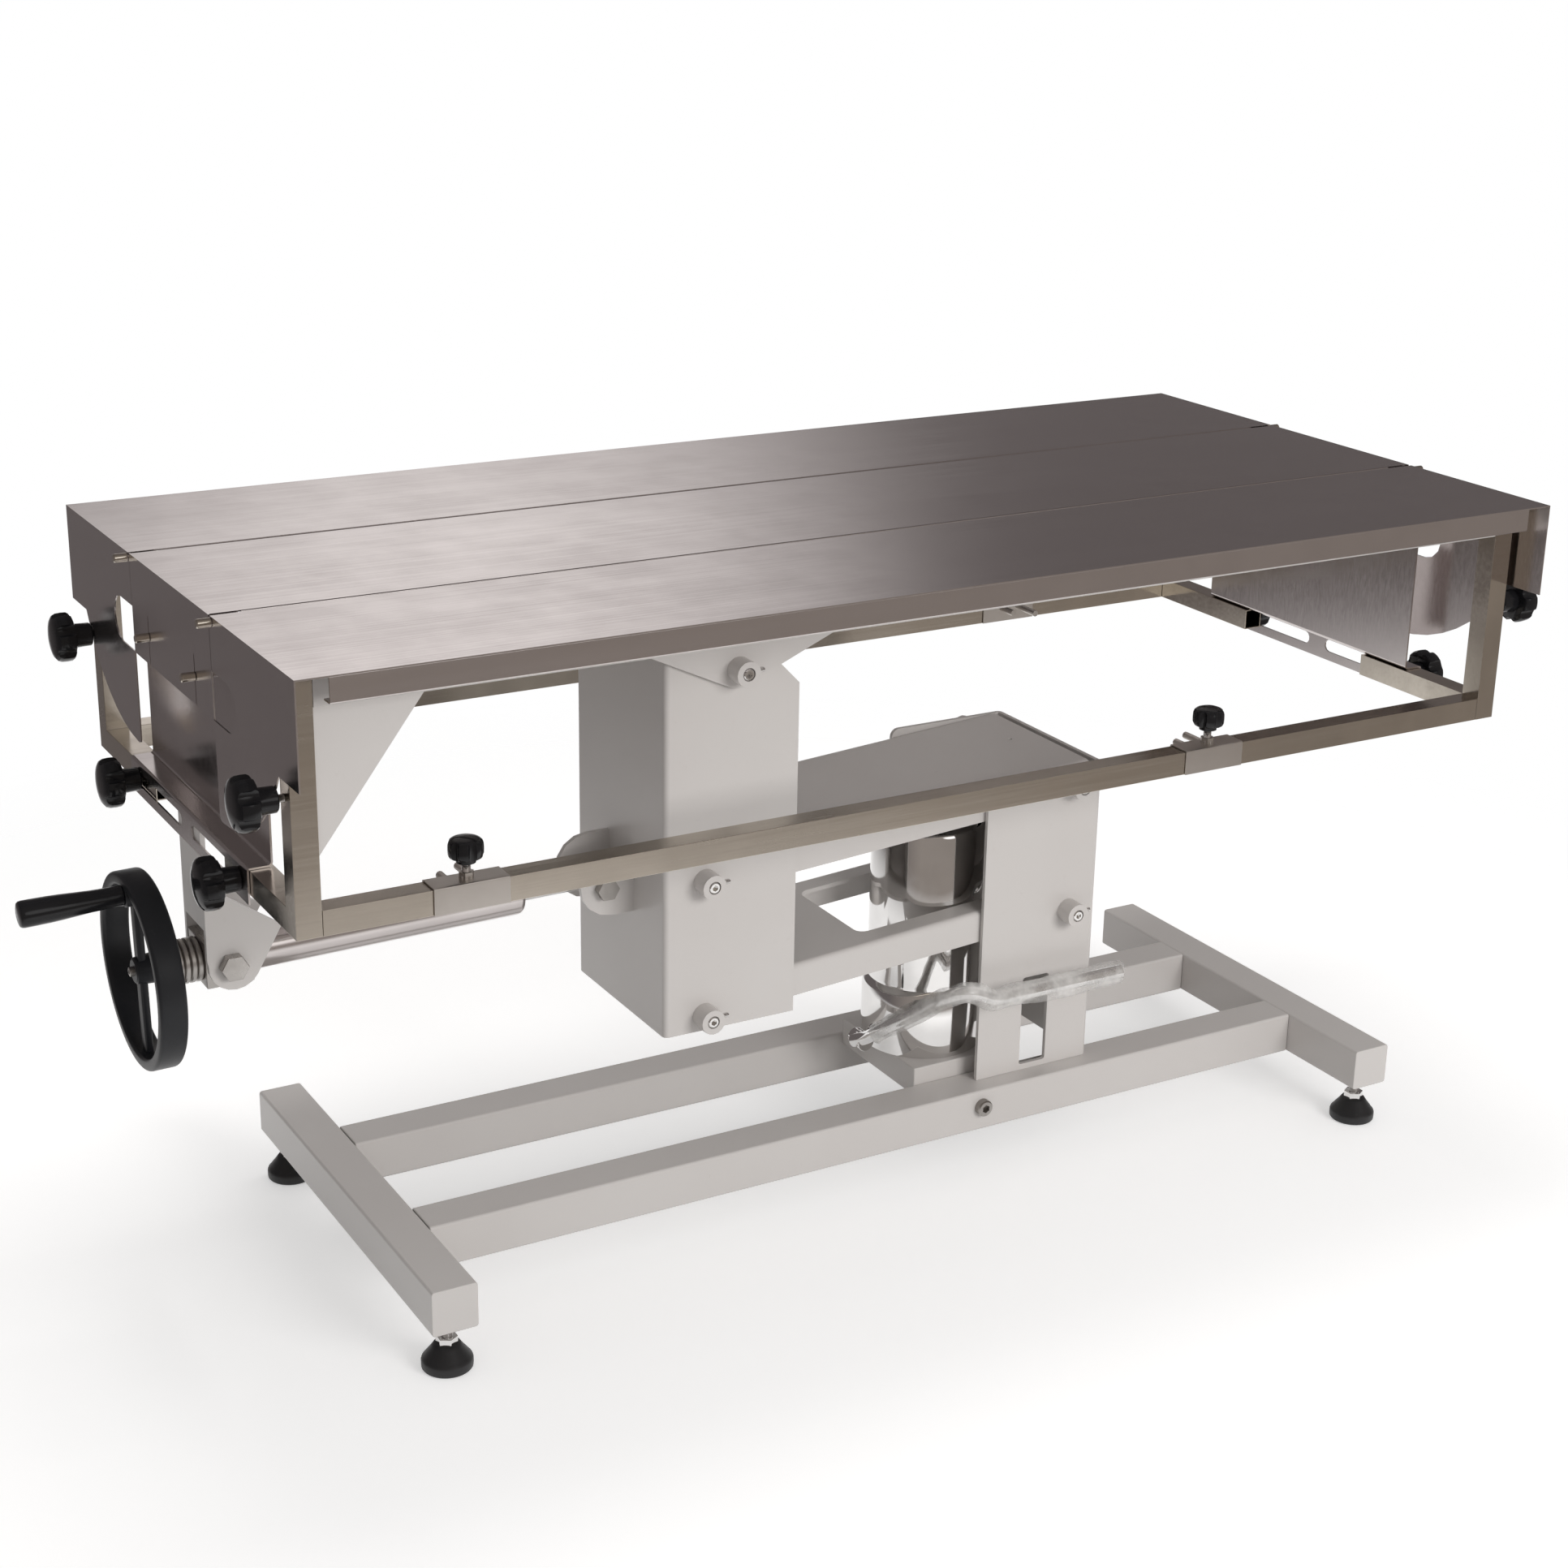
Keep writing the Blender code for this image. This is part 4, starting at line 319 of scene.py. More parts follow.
def brushed_grain_group():
    """Rolled and polished sheet: fine lines one way, cloudy handling marks and a changing gloss."""
    group, start, end = new_group(
        "brushed_grain",
        [("Vector", "Vector", None), ("Grain", "Vector", (3.0, 300.0, 80.0)), ("Colour", "Color", None),
         ("Dull Colour", "Color", None), ("Low Roughness", "Float", 0.2), ("High Roughness", "Float", 0.35)],
        [("Colour", "Color"), ("Roughness", "Float"), ("Height", "Float")])
    vector = start.outputs["Vector"]
    mapping = add_node(group, "ShaderNodeMapping")
    group.links.new(vector, mapping.inputs["Vector"])
    group.links.new(start.outputs["Grain"], mapping.inputs["Scale"])
    lines = noise(group, mapping.outputs["Vector"], 1.0, 3.0, 0.6)
    clouds = noise(group, vector, 3.5, 3.0, 0.55)
    smears = noise(group, vector, 14.0, 4.0, 0.6)
    marks = added(group, spread(group, clouds, 0.3, 0.7, 0.0, 0.6),
                  spread(group, smears, 0.35, 0.65, 0.0, 0.4))
    fine = spread(group, lines, 0.3, 0.7, -0.04, 0.04)
    colour = blended(group, spread(group, marks, 0.2, 0.8, 0.0, 1.0), start.outputs["Colour"],
                     start.outputs["Dull Colour"])
    rough = spread(group, marks, 0.1, 0.9, start.outputs["Low Roughness"], start.outputs["High Roughness"])
    group.links.new(colour, end.inputs["Colour"])
    group.links.new(added(group, rough, fine), end.inputs["Roughness"])
    group.links.new(lines, end.inputs["Height"])
    return group


def coated_surface_group():
    """A sprayed or moulded surface: a fine pebbled skin, a little dust and a slow change of tone."""
    group, start, end = new_group(
        "coated_surface",
        [("Vector", "Vector", None), ("Pebble Scale", "Float", 500.0), ("Colour", "Color", None),
         ("Worn Colour", "Color", None), ("Low Roughness", "Float", 0.25), ("High Roughness", "Float", 0.4)],
        [("Colour", "Color"), ("Roughness", "Float"), ("Height", "Float")])
    vector = start.outputs["Vector"]
    pebbles = add_node(group, "ShaderNodeTexNoise")
    pebbles.inputs["Detail"].default_value = 2.0
    group.links.new(vector, pebbles.inputs["Vector"])
    group.links.new(start.outputs["Pebble Scale"], pebbles.inputs["Scale"])
    tone = noise(group, vector, 5.0, 3.0, 0.5)
    specks = noise(group, vector, 130.0, 5.0, 0.7)
    worn = added(group, spread(group, tone, 0.35, 0.65, 0.0, 0.6),
                 spread(group, specks, 0.62, 0.72, 0.0, 0.7))
    colour = blended(group, worn, start.outputs["Colour"], start.outputs["Worn Colour"])
    group.links.new(colour, end.inputs["Colour"])
    rough = spread(group, worn, 0.0, 1.0, start.outputs["Low Roughness"], start.outputs["High Roughness"])
    group.links.new(rough, end.inputs["Roughness"])
    group.links.new(pebbles.outputs["Fac"], end.inputs["Height"])
    return group


BRUSHED_GRAIN = brushed_grain_group()
COATED_SURFACE = coated_surface_group()


def surface(name, group, values, metallic=0.0, bump=0.1, bump_distance=0.0003, ior=1.5):
    """A material whose colour, roughness and bump come from one of the shared groups."""
    material = bpy.data.materials.new(name)
    material.use_nodes = True
    tree = material.node_tree
    shader = tree.nodes["Principled BSDF"]
    shader.inputs["Metallic"].default_value = metallic
    shader.inputs["IOR"].default_value = ior
    place = tree.nodes.new("ShaderNodeTexCoord")
    pattern = tree.nodes.new("ShaderNodeGroup")
    pattern.node_tree = group
    tree.links.new(place.outputs["Object"], pattern.inputs["Vector"])
    for label, value in values.items():
        pattern.inputs[label].default_value = (*value, 1.0) if label.endswith("Colour") else value
    tree.links.new(pattern.outputs["Colour"], shader.inputs["Base Color"])
    tree.links.new(pattern.outputs["Roughness"], shader.inputs["Roughness"])
    relief = add_node(tree, "ShaderNodeBump")
    relief.inputs["Strength"].default_value = bump
    relief.inputs["Distance"].default_value = bump_distance
    tree.links.new(pattern.outputs["Height"], relief.inputs["Height"])
    tree.links.new(relief.outputs["Normal"], shader.inputs["Normal"])
    return material


def brushed_metal(name, grain, colour, dull, roughness, bump, bump_distance=0.0001):
    """A metal finish; the grain is its scale along X, Y and Z."""
    return surface(name, BRUSHED_GRAIN,
                   {"Grain": grain, "Colour": colour, "Dull Colour": dull,
                    "Low Roughness": roughness[0], "High Roughness": roughness[1]},
                   metallic=1.0, bump=bump, bump_distance=bump_distance)


def coating(name, pebble, colour, worn, roughness, bump, bump_distance=0.0003, ior=1.5):
    """A paint, plastic or rubber finish."""
    return surface(name, COATED_SURFACE,
                   {"Pebble Scale": pebble, "Colour": colour, "Worn Colour": worn,
                    "Low Roughness": roughness[0], "High Roughness": roughness[1]},
                   bump=bump, bump_distance=bump_distance, ior=ior)


PLASTIC_IOR = 1.36
ENAMEL = coating("white_enamel", 420.0, (0.66, 0.635, 0.615), (0.63, 0.60, 0.58), (0.30, 0.36), 0.12, 0.0004)
SHEET = brushed_metal("polished_sheet", (2.0, 420.0, 90.0), (0.60, 0.56, 0.55), (0.56, 0.52, 0.51),
                      (0.17, 0.23), 0.04)
TUBE = brushed_metal("polished_tube", (6.0, 260.0, 260.0), (0.60, 0.55, 0.48), (0.50, 0.455, 0.395),
                     (0.12, 0.26), 0.05)
SATIN_TUBE = brushed_metal("satin_tube", (6.0, 500.0, 500.0), (0.63, 0.595, 0.56), (0.55, 0.515, 0.48),
                           (0.32, 0.46), 0.08)
CHROME = brushed_metal("bright_chrome", (40.0, 40.0, 40.0), (0.80, 0.79, 0.78), (0.72, 0.71, 0.70),
                       (0.03, 0.08), 0.02)
ZINC = brushed_metal("zinc_plate", (180.0, 60.0, 60.0), (0.46, 0.44, 0.42), (0.33, 0.31, 0.29),
                     (0.24, 0.42), 0.15, 0.0002)
GLOSS_PLASTIC = coating("gloss_black_plastic", 90.0, (0.008, 0.008, 0.009), (0.016, 0.016, 0.018),
                        (0.10, 0.22), 0.05, 0.0005, PLASTIC_IOR)
SATIN_PLASTIC = coating("satin_black_plastic", 700.0, (0.010, 0.0105, 0.0125), (0.020, 0.021, 0.024),
                        (0.34, 0.48), 0.25, ior=PLASTIC_IOR)
RUBBER = coating("black_rubber", 900.0, (0.014, 0.014, 0.015), (0.035, 0.034, 0.033), (0.45, 0.65), 0.3)


def clear_film():
    """Clear wrapping film, milky along its creases."""
    material = bpy.data.materials.new("clear_film")
    material.use_nodes = True
    tree = material.node_tree
    shader = tree.nodes["Principled BSDF"]
    place = tree.nodes.new("ShaderNodeTexCoord")
    creases = noise(tree, place.outputs["Object"], 36.0, 3.0, 0.55)
    shader.inputs["Base Color"].default_value = (0.88, 0.87, 0.85, 1.0)
    tree.links.new(spread(tree, creases, 0.35, 0.65, 0.08, 0.20), shader.inputs["Roughness"])
    tree.links.new(spread(tree, creases, 0.38, 0.68, 0.20, 0.62), shader.inputs["Alpha"])
    relief = add_node(tree, "ShaderNodeBump")
    relief.inputs["Strength"].default_value = 0.30
    relief.inputs["Distance"].default_value = 0.002
    tree.links.new(creases, relief.inputs["Height"])
    tree.links.new(relief.outputs["Normal"], shader.inputs["Normal"])
    return material


FILM = clear_film()


# Plates, tubes and channels whose shape the CAD nodes already have


def dressed(node, material, slot, edge, segments=2):
    """A merged copy of a CAD node with rounded edges and its finish."""
    source = FRAME["nodes"][node]
    piece = bpy.data.objects.new(node, source.data.copy())
    bpy.context.scene.collection.objects.link(piece)
    edit(piece)
    bpy.ops.mesh.remove_doubles(threshold=0.00001)
    bpy.ops.mesh.select_all(action="SELECT")
    bpy.ops.mesh.dissolve_limited(angle_limit=math.radians(0.5))
    leave()
    if edge:
        rounded(piece, edge, segments)
    smooth(piece, 38)
    applied(piece, "WEIGHTED_NORMAL", keep_sharp=True, weight=80)
    return finished(piece, "skin_" + node, BODY_OF[node], material, slot, node)


EDGES = {
    "base_cross_left": 0.0012, "base_cross_right": 0.0012, "base_rail_near": 0.0010, "base_rail_far": 0.0010,
    "pump_tray": 0.0015, "pedestal": 0.0009, "upper_arm": 0.0009, "lower_arm": 0.0009, "column": 0.0009,
    "tilt_frame": 0.0007, "clevis": 0.0010, "beam_near": 0.0006, "beam_far": 0.0006,
}
for part, part_edge in EDGES.items():
    dressed(part, ENAMEL, "white_enamel", part_edge)
for part in ("panel_near", "panel_far", "panel_middle", "cradle_left", "cradle_right"):
    dressed(part, SHEET, "stainless_sheet", 0.0003)
TUBES = ["rail_near", "rail_far"] + ["leg_%s_%s" % (side, end) for side in SIDES for end in ENDS]
for part in TUBES:
    dressed(part, TUBE, "stainless_tube", 0.0005)
for part in ("sleeve_near_left", "sleeve_near_right", "sleeve_far"):
    dressed(part, SATIN_TUBE, "stainless_tube", 0.0005)
for part in ("lug_bolt", "clevis_bolt_near", "clevis_bolt_far"):
    dressed(part, ZINC, "zinc_steel", 0.0008)


# Star knobs


def star_head(radius, height, lobes=6):
    """A domed star head, standing on zero: a turned button with round flutes cut into its rim."""
    rings = [(0.0, radius * 0.84), (height * 0.05, radius * 0.93), (height * 0.16, radius * 0.99),
             (height * 0.40, radius), (height * 0.66, radius * 0.985), (height * 0.80, radius * 0.93),
             (height * 0.90, radius * 0.80), (height * 0.96, radius * 0.60), (height * 0.99, radius * 0.34),
             (height, radius * 0.10)]
    head = turned(rings, 72)
    for index in range(lobes):
        angle = math.pi * (2 * index + 1) / lobes
        reach = radius * 1.06
        flute = prism(24, radius * 0.27, -height, 2 * height)
        laid(flute, Matrix.Translation((reach * math.cos(angle), reach * math.sin(angle), 0)))
        cut(head, flute)
    return rounded(head, radius * 0.035, 2, 40)


def star_knob(radius, head, neck_radius, neck):
    """A star knob drawn up the Z axis, its neck's end at zero."""
    knob = laid(star_head(radius, head), Matrix.Translation((0, 0, neck)))
    collar = turned([(0.0, neck_radius * 0.86), (neck * 0.06, neck_radius * 0.94),
                     (neck * 0.5, neck_radius * 0.96), (neck * 1.05, neck_radius),
                     (neck + head * 0.3, neck_radius)], 48)
    return smooth(join(knob, collar), 40)


def stud(radius, low, high):
    """A stud with chamfered ends and shallow threads, drawn up the Z axis."""
    count = int((high - low) / STUD_PITCH)
    rings = [(low, radius * 0.72)]
    for index in range(count):
        start = low + index * STUD_PITCH
        rings += [(start + STUD_PITCH * 0.25, radius * 0.88), (start + STUD_PITCH * 0.6, radius)]
    rings += [(high, radius * 0.8)]
    return turned(rings, 20)


STUD_RADIUS = 0.0038
STUD_PITCH = 0.00125
KNOB = {"radius": 0.026, "head": 0.022, "neck_radius": 0.013, "neck": 0.0197}
SMALL_KNOB = {"radius": 0.017, "head": 0.020, "neck_radius": 0.0100, "neck": 0.005}
SMALL_STUD_RADIUS = 0.0044
SMALL_NUT = 0.0045
KNOB_STUD = 0.017


def stud_end(node, inward):
    """The middle of the end face of a knob's CAD stud."""
    points = [vertex.co for vertex in FRAME["nodes"][node].data.vertices]
    reach = max(point.dot(inward) for point in points)
    face = [point for point in points if point.dot(inward) > reach - 0.0005]
    low = Vector([min(point[axis] for point in face) for axis in range(3)])
    high = Vector([max(point[axis] for point in face) for axis in range(3)])
    return (low + high) / 2


def end_knobs():
    """The four knobs at each end, each with its stud."""
    knob = star_knob(**KNOB)
    bolt = stud(STUD_RADIUS, -KNOB_STUD, 0.003)
    for row in ("upper", "lower"):
        for side in SIDES:
            for end, sign in ENDS.items():
                node = "knob_%s_%s_%s" % (row, side, end)
                low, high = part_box(node)
                outer = high.x if sign > 0 else low.x
                centre = stud_end(node, X * -sign)
                seat = Vector((outer - sign * (KNOB["neck"] + KNOB["head"]), centre.y, centre.z))
                star = stand(copied(knob, node), seat, X * sign)
                finished(star, "star_" + node, BODY_OF[node], GLOSS_PLASTIC, "black_plastic", node)
                pin = stand(copied(bolt, node + "_stud"), seat, X * sign)
                finished(pin, "stud_" + node, BODY_OF[node], ZINC, "zinc_steel")
    bpy.data.objects.remove(knob, do_unlink=True)
    bpy.data.objects.remove(bolt, do_unlink=True)


def sleeve_knobs():
    """The small knobs that clamp the sleeves, each on a plated stud with its lock nut."""
    knob = star_knob(**SMALL_KNOB)
    for name in ("near_left", "near_right", "far"):
        node = "sleeve_knob_" + name
        low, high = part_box(node)
        centre = stud_end(node, -Z)
        seat = Vector((centre.x, centre.y, high.z - SMALL_KNOB["neck"] - SMALL_KNOB["head"]))
        star = stand(copied(knob, node), seat)
        finished(star, "star_" + node, BODY_OF[node], GLOSS_PLASTIC, "black_plastic", node)
        foot = low.z - seat.z
        pin = stud(SMALL_STUD_RADIUS, foot, 0.002)
        join(pin, rounded(prism(6, 0.0072, foot + 0.0008, foot + SMALL_NUT), 0.0005))
        stand(pin, seat)
        finished(pin, "stud_" + node, BODY_OF[node], CHROME, "polished_chrome")
    bpy.data.objects.remove(knob, do_unlink=True)


end_knobs()
sleeve_knobs()


# Feet


def feet():
    """Round levelling feet with a plated stud and nut."""
    pad = turned([(0.0, 0.0235), (0.0006, 0.0252), (0.002, 0.0263), (0.0045, 0.0265), (0.0095, 0.0265),
                  (0.0115, 0.0258), (0.0130, 0.0243), (0.0160, 0.0222), (0.0200, 0.0190), (0.0240, 0.0160),
                  (0.0270, 0.0140), (0.0278, 0.0125)], 64)
    nut = join(rounded(prism(6, 0.0115, 0.0272, 0.0355), 0.0006), stud(0.006, 0.030, 0.079))
    for side in SIDES:
        for end in ENDS:
            node = "foot_%s_%s" % (side, end)
            place = Vector((middle(node).x, middle(node).y, FLOOR_Z))
            sole = stand(copied(pad, node), place)
            finished(sole, "pad_" + node, BODY_OF[node], RUBBER, "black_rubber", node)
            post = stand(copied(nut, node + "_stud"), place)
            finished(post, "stud_" + node, BODY_OF[node], CHROME, "polished_chrome")
    bpy.data.objects.remove(pad, do_unlink=True)
    bpy.data.objects.remove(nut, do_unlink=True)


feet()


# Handwheel and tilt screw

BLOCK = middle("clevis_bolt_near")
BLOCK = Vector((BLOCK.x, 0.0, BLOCK.z))
LUG = middle("lug_bolt")
SCREW = (Vector((LUG.x, 0, LUG.z)) - BLOCK).normalized()
SCREW_UP = Vector((-SCREW.z, 0, SCREW.x))
SCREW_TURN = SCREW.to_track_quat("Z", "Y").to_matrix().to_4x4()
ACROSS = SCREW_TURN.to_3x3().inverted() @ Y
ACROSS_TABLE = Matrix.Rotation(math.atan2(ACROSS.y, ACROSS.x), 4, "Z")
BLOCK_HALF = 0.049 / 2
WHEEL_RADIUS = 0.101
RIM_FACES = (-0.094, -0.0663)
RIM_THICKNESS = 0.013
CRANK_RADIUS = 0.082
GRIP_LENGTH = 0.1017
TUBE_MOUTH = 0.327


def along_screw(piece):
    """Lay a shape drawn up the Z axis along the tilt screw, its zero in the block's middle."""
    return laid(piece, Matrix.Translation(BLOCK) @ SCREW_TURN)


def handwheel():
    """The banded rim with two flat spokes, a hub, the crank's boss and the plated hub screw."""
    low, high = RIM_FACES
    wheel = spun_ring(WHEEL_RADIUS - RIM_THICKNESS, WHEEL_RADIUS, low, high, 0.0035, 128, 4)
    spoke_end = WHEEL_RADIUS - RIM_THICKNESS + 0.002
    up = SCREW_TURN.to_3x3().inverted() @ SCREW_UP
    lean = X.rotation_difference(up).to_matrix().to_4x4()
    for half_turns in (0, 1):
        spoke = block((0.004, -0.0075, -0.086), (spoke_end, 0.0075, -0.078))
        edit(spoke)
        bpy.ops.mesh.subdivide(number_cuts=1)
        leave()
        rounded(spoke, 0.002, 3)
        join(wheel, laid(spoke, lean @ quarter("Z", 2 * half_turns)))
    hub = turned([(-0.090, 0.0115), (-0.0885, 0.0135), (-0.078, 0.0150), (-0.060, 0.0160), (-0.0540, 0.0160),
                  (-0.0525, 0.0148)], 64)
    join(wheel, hub)
    boss = turned([(low, 0.0112), (low + 0.0012, 0.0125), (high - 0.001, 0.0125), (high, 0.0115)], 48)
    join(wheel, laid(boss, Matrix.Translation(up * CRANK_RADIUS)))
    smooth(along_screw(wheel), 35)
    finished(wheel, "wheel_rim", "handwheel", SATIN_PLASTIC, "black_plastic", "handwheel")
    screw = turned([(-0.0945, 0.0035), (-0.0940, 0.0048), (-0.0900, 0.0052), (-0.0890, 0.0052)], 32)
    cut(screw, prism(6, 0.0026, -0.1, -0.0918))
    finished(along_screw(smooth(screw)), "hub_screw", "handwheel", ZINC, "zinc_steel")
    shaft = turned([(-0.0530, 0.0095), (-0.0500, 0.0098), (0.0300, 0.0098)], 48)
    finished(along_screw(shaft), "wheel_shaft", "handwheel", ZINC, "zinc_steel")


def crank_handle():
    """The moulded grip, thicker towards its end."""
    root = -(RIM_FACES[0] - 0.0003)
    length = GRIP_LENGTH
    grip = turned([(-0.011, 0.0038), (0.0, 0.0038), (0.0001, 0.0098), (0.0010, 0.0105), (0.0100, 0.0103),
                   (0.0160, 0.0104), (0.0300, 0.0108), (0.0450, 0.0117), (0.0600, 0.0127), (0.0720, 0.0132),
                   (0.0900, 0.0135), (length - 0.0045, 0.0135), (length - 0.0020, 0.0131),
                   (length - 0.0006, 0.0120), (length, 0.0100)], 64)
    place = BLOCK - SCREW * root + SCREW_UP * CRANK_RADIUS
    stand(grip, place, -SCREW)
    finished(smooth(grip, 50), "crank_grip", "crank_handle", GLOSS_PLASTIC, "black_plastic", "crank_handle")


def screw_block():
    """The machined block and its stack of thrust washers."""
    body = rounded(block((-BLOCK_HALF, -0.0265, -BLOCK_HALF), (BLOCK_HALF, 0.0265, BLOCK_HALF)), 0.0012, 2)
    cut(body, laid(prism(48, 0.0102, -0.04, 0.04), quarter("X")))
    laid(body, quarter("Z") @ quarter("Y", -1))
    rings = [(-0.0505 + step, radius) for step, radius in washer_steps()]
    join(body, turned(rings + [(-BLOCK_HALF + 0.001, 0.0205)], 64))
    cut(body, prism(48, 0.0101, -0.08, 0.04))
    along_screw(laid(body, ACROSS_TABLE))
    finished(smooth(body, 35), "bearing_block", "screw_block", ZINC, "zinc_steel", "screw_block")


def washer_steps():
    """Heights and radii of the stacked washers, each with a rounded edge."""
    steps = []
    pitch = 0.0065
    for index in range(4):
        start = index * pitch
        steps += [(start, 0.0205), (start + 0.0006, 0.0222), (start + 0.0016, 0.0230),
                  (start + pitch - 0.0016, 0.0230), (start + pitch - 0.0006, 0.0222),
                  (start + pitch - 0.0001, 0.0205)]
    return steps


def screw_tube_and_rod():
    """The hollow tube, rolled in at its mouth, and the rod that slides in it."""
    start, end = BLOCK_HALF + 0.0003, TUBE_MOUTH
    tube = turned([(start, 0.0195), (start + 0.001, 0.0200), (start + 0.006, 0.0200), (start + 0.007, 0.0225),
                   (end - 0.0065, 0.0225), (end - 0.0040, 0.0220), (end - 0.0015, 0.0200), (end, 0.0170)], 72)
    cut(tube, prism(48, 0.0145, end - 0.012, end + 0.01))
    cut(tube, prism(48, 0.0205, start + 0.006, end - 0.010))
    cut(tube, prism(48, 0.0103, start - 0.01, start + 0.03))
    along_screw(smooth(tube, 30))
    finished(tube, "spindle_tube", "screw_block", SHEET, "stainless_sheet", "screw_tube")
    distance = (Vector((LUG.x, 0, LUG.z)) - BLOCK).length
    rod = turned([(distance - 0.335, 0.0085), (distance - 0.333, 0.010), (distance - 0.012, 0.010)], 48)
    at_eye = Matrix.Translation((0, 0, distance)) @ quarter("X")
    join(rod, laid(rounded(prism(64, 0.018, -0.012, 0.012), 0.001), at_eye))
    cut(rod, laid(prism(48, 0.0081, -0.03, 0.03), at_eye))
    along_screw(laid(rod, ACROSS_TABLE @ quarter("Z", -1)))
    finished(smooth(rod, 35), "push_rod", "screw_rod", CHROME, "polished_chrome", "screw_rod")


handwheel()
crank_handle()
screw_block()
screw_tube_and_rod()


# Pivot pins, with their socket ends and set screws


PINS = ("pin_pedestal_upper", "pin_pedestal_lower", "pin_column_upper", "pin_column_lower", "pin_tilt")


def pivot_pins():
    """Pins with socket heads, and the set screw that stands out of each boss."""
    for node in PINS:
        low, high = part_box(node)
        centre = middle(node)
        half = (high.y - low.y) / 2
        pin = turned([(-half, 0.0052), (-half + 0.0012, 0.0066), (-half + 0.0022, 0.0070),
                      (half - 0.0022, 0.0070), (half - 0.0012, 0.0066), (half, 0.0052)], 48)
        for sign in (-1, 1):
            cut(pin, prism(6, 0.0036, *sorted((sign * (half - 0.004), sign * (half + 0.01)))))
        stand(smooth(pin, 35), centre, Y)
        finished(pin, "bright_" + node, BODY_OF[node], CHROME, "polished_chrome", node)
        for side, sign in SIDES.items():
            y = sign * (half - 0.012)
            screw = stud(0.003, 0.0125, 0.0235)
            cut(screw, prism(6, 0.0015, 0.0210, 0.03))
            stand(smooth(screw, 35), Vector((centre.x, y, centre.z)), X)
            finished(screw, "set_screw_%s_%s" % (node, side), BODY_OF[node], CHROME, "polished_chrome")


pivot_pins()


HINGE_PIN_PLACE = (0.130, 0.7755)
GUIDE_PIN_PLACE = (0.072, 0.708)


def pin_caps():
    """Bright ends on the panels' hinge pins and on the guide pins in the middle panel's slits."""
    low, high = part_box("panel_middle")
    cap = turned([(0.0004, 0.0042), (0.0006, 0.0045), (0.0132, 0.0045), (0.0142, 0.0034)], 32)
    for use, (y, z) in (("hinge", HINGE_PIN_PLACE), ("guide", GUIDE_PIN_PLACE)):
        for side, sign in SIDES.items():
            for end, outward in ENDS.items():
                name = "%s_pin_cap_%s_%s" % (use, side, end)
                face = high.x if outward > 0 else low.x
                piece = stand(copied(cap, name), Vector((face, sign * y, z)), X * outward)
                finished(piece, name, BODY_OF["cradle_" + end], TUBE, "stainless_tube")
    bpy.data.objects.remove(cap, do_unlink=True)


pin_caps()


# Pump, ram and lever

PUMP = middle("pump_ram")
TRAY_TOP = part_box("pump_tray")[1].z
TRAY_GAP = 0.0003
PUMP_TOP = 0.397
RAM_BORE = 0.0152
WINDOW_HALF = 0.026
WINDOW_ARCH = 0.350
PUMP_FRONT = 0.09


def pump():
    """The chrome pump: a drum with a rolled rim, its open shroud and the foot ring."""
    drum = turned([(TRAY_TOP + TRAY_GAP, 0.0600), (TRAY_TOP + 0.010, 0.0615), (PUMP_TOP - 0.030, 0.0615),
                   (PUMP_TOP - 0.012, 0.0605), (PUMP_TOP - 0.006, 0.0570), (PUMP_TOP - 0.004, 0.0400),
                   (PUMP_TOP - 0.004, 0.0230), (PUMP_TOP, 0.0215)], 96)
    cut(drum, prism(48, RAM_BORE, 0.14, 0.45))
    stand(smooth(drum, 30), Vector((PUMP.x, PUMP.y, 0)))
    finished(drum, "pump_drum", BODY_OF["pump_body"], CHROME, "polished_chrome", "pump_body")
    bottom = TRAY_TOP + TRAY_GAP
    shroud = turned([(bottom, 0.0720), (bottom + 0.0008, 0.0722), (0.196, 0.0720), (0.200, 0.0700),
                     (0.204, 0.0665), (0.208, 0.0660), (PUMP_TOP - 0.006, 0.0660),
                     (PUMP_TOP - 0.002, 0.0650), (PUMP_TOP, 0.0635)], 96)
    cut(shroud, prism(96, 0.0632, bottom - 0.01, PUMP_TOP + 0.01))
    cut(shroud, block((-WINDOW_HALF, -PUMP_FRONT, WINDOW_ARCH), (WINDOW_HALF, 0.0, PUMP_TOP + 0.01)))
    arch = prism(48, WINDOW_HALF, 0.0, PUMP_FRONT)
    cut(shroud, laid(arch, Matrix.Translation((0, 0, WINDOW_ARCH)) @ quarter("X")))
    stand(smooth(shroud, 30), Vector((PUMP.x, PUMP.y, 0)))
    finished(shroud, "pump_shroud", BODY_OF["pump_body"], CHROME, "polished_chrome")
    low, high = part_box("pump_ram")
    ram = turned([(low.z, 0.0150), (high.z - 0.0085, 0.0150), (high.z - 0.008, 0.0238),
                  (high.z - 0.0072, 0.0250), (high.z - 0.0008, 0.0250), (high.z, 0.0242)], 64)
    stand(smooth(ram, 35), Vector((PUMP.x, PUMP.y, 0)))
    finished(ram, "bright_ram", BODY_OF["pump_ram"], CHROME, "polished_chrome", "pump_ram")


LEVER_PATH = (
    (0.060, 0.003, 0.131), (0.0665, -0.0125, 0.1388), (0.0683, -0.0335, 0.1538), (0.0705, -0.0452, 0.1627),
    (0.090, -0.087, 0.196), (0.109, -0.1275, 0.2298), (0.1208, -0.1379, 0.2350), (0.1304, -0.140, 0.2328),
    (0.158, -0.140, 0.2206), (0.180, -0.140, 0.2199), (0.260, -0.140, 0.2195), (0.335, -0.140, 0.219),
)
LEVER_RADIUS = 0.008
LEVER_PIVOT = Vector((0.068, 0, 0.132))
FILM_START = 2
FILM_RADIUS = 0.0110
FILM_FLARE = 1.25


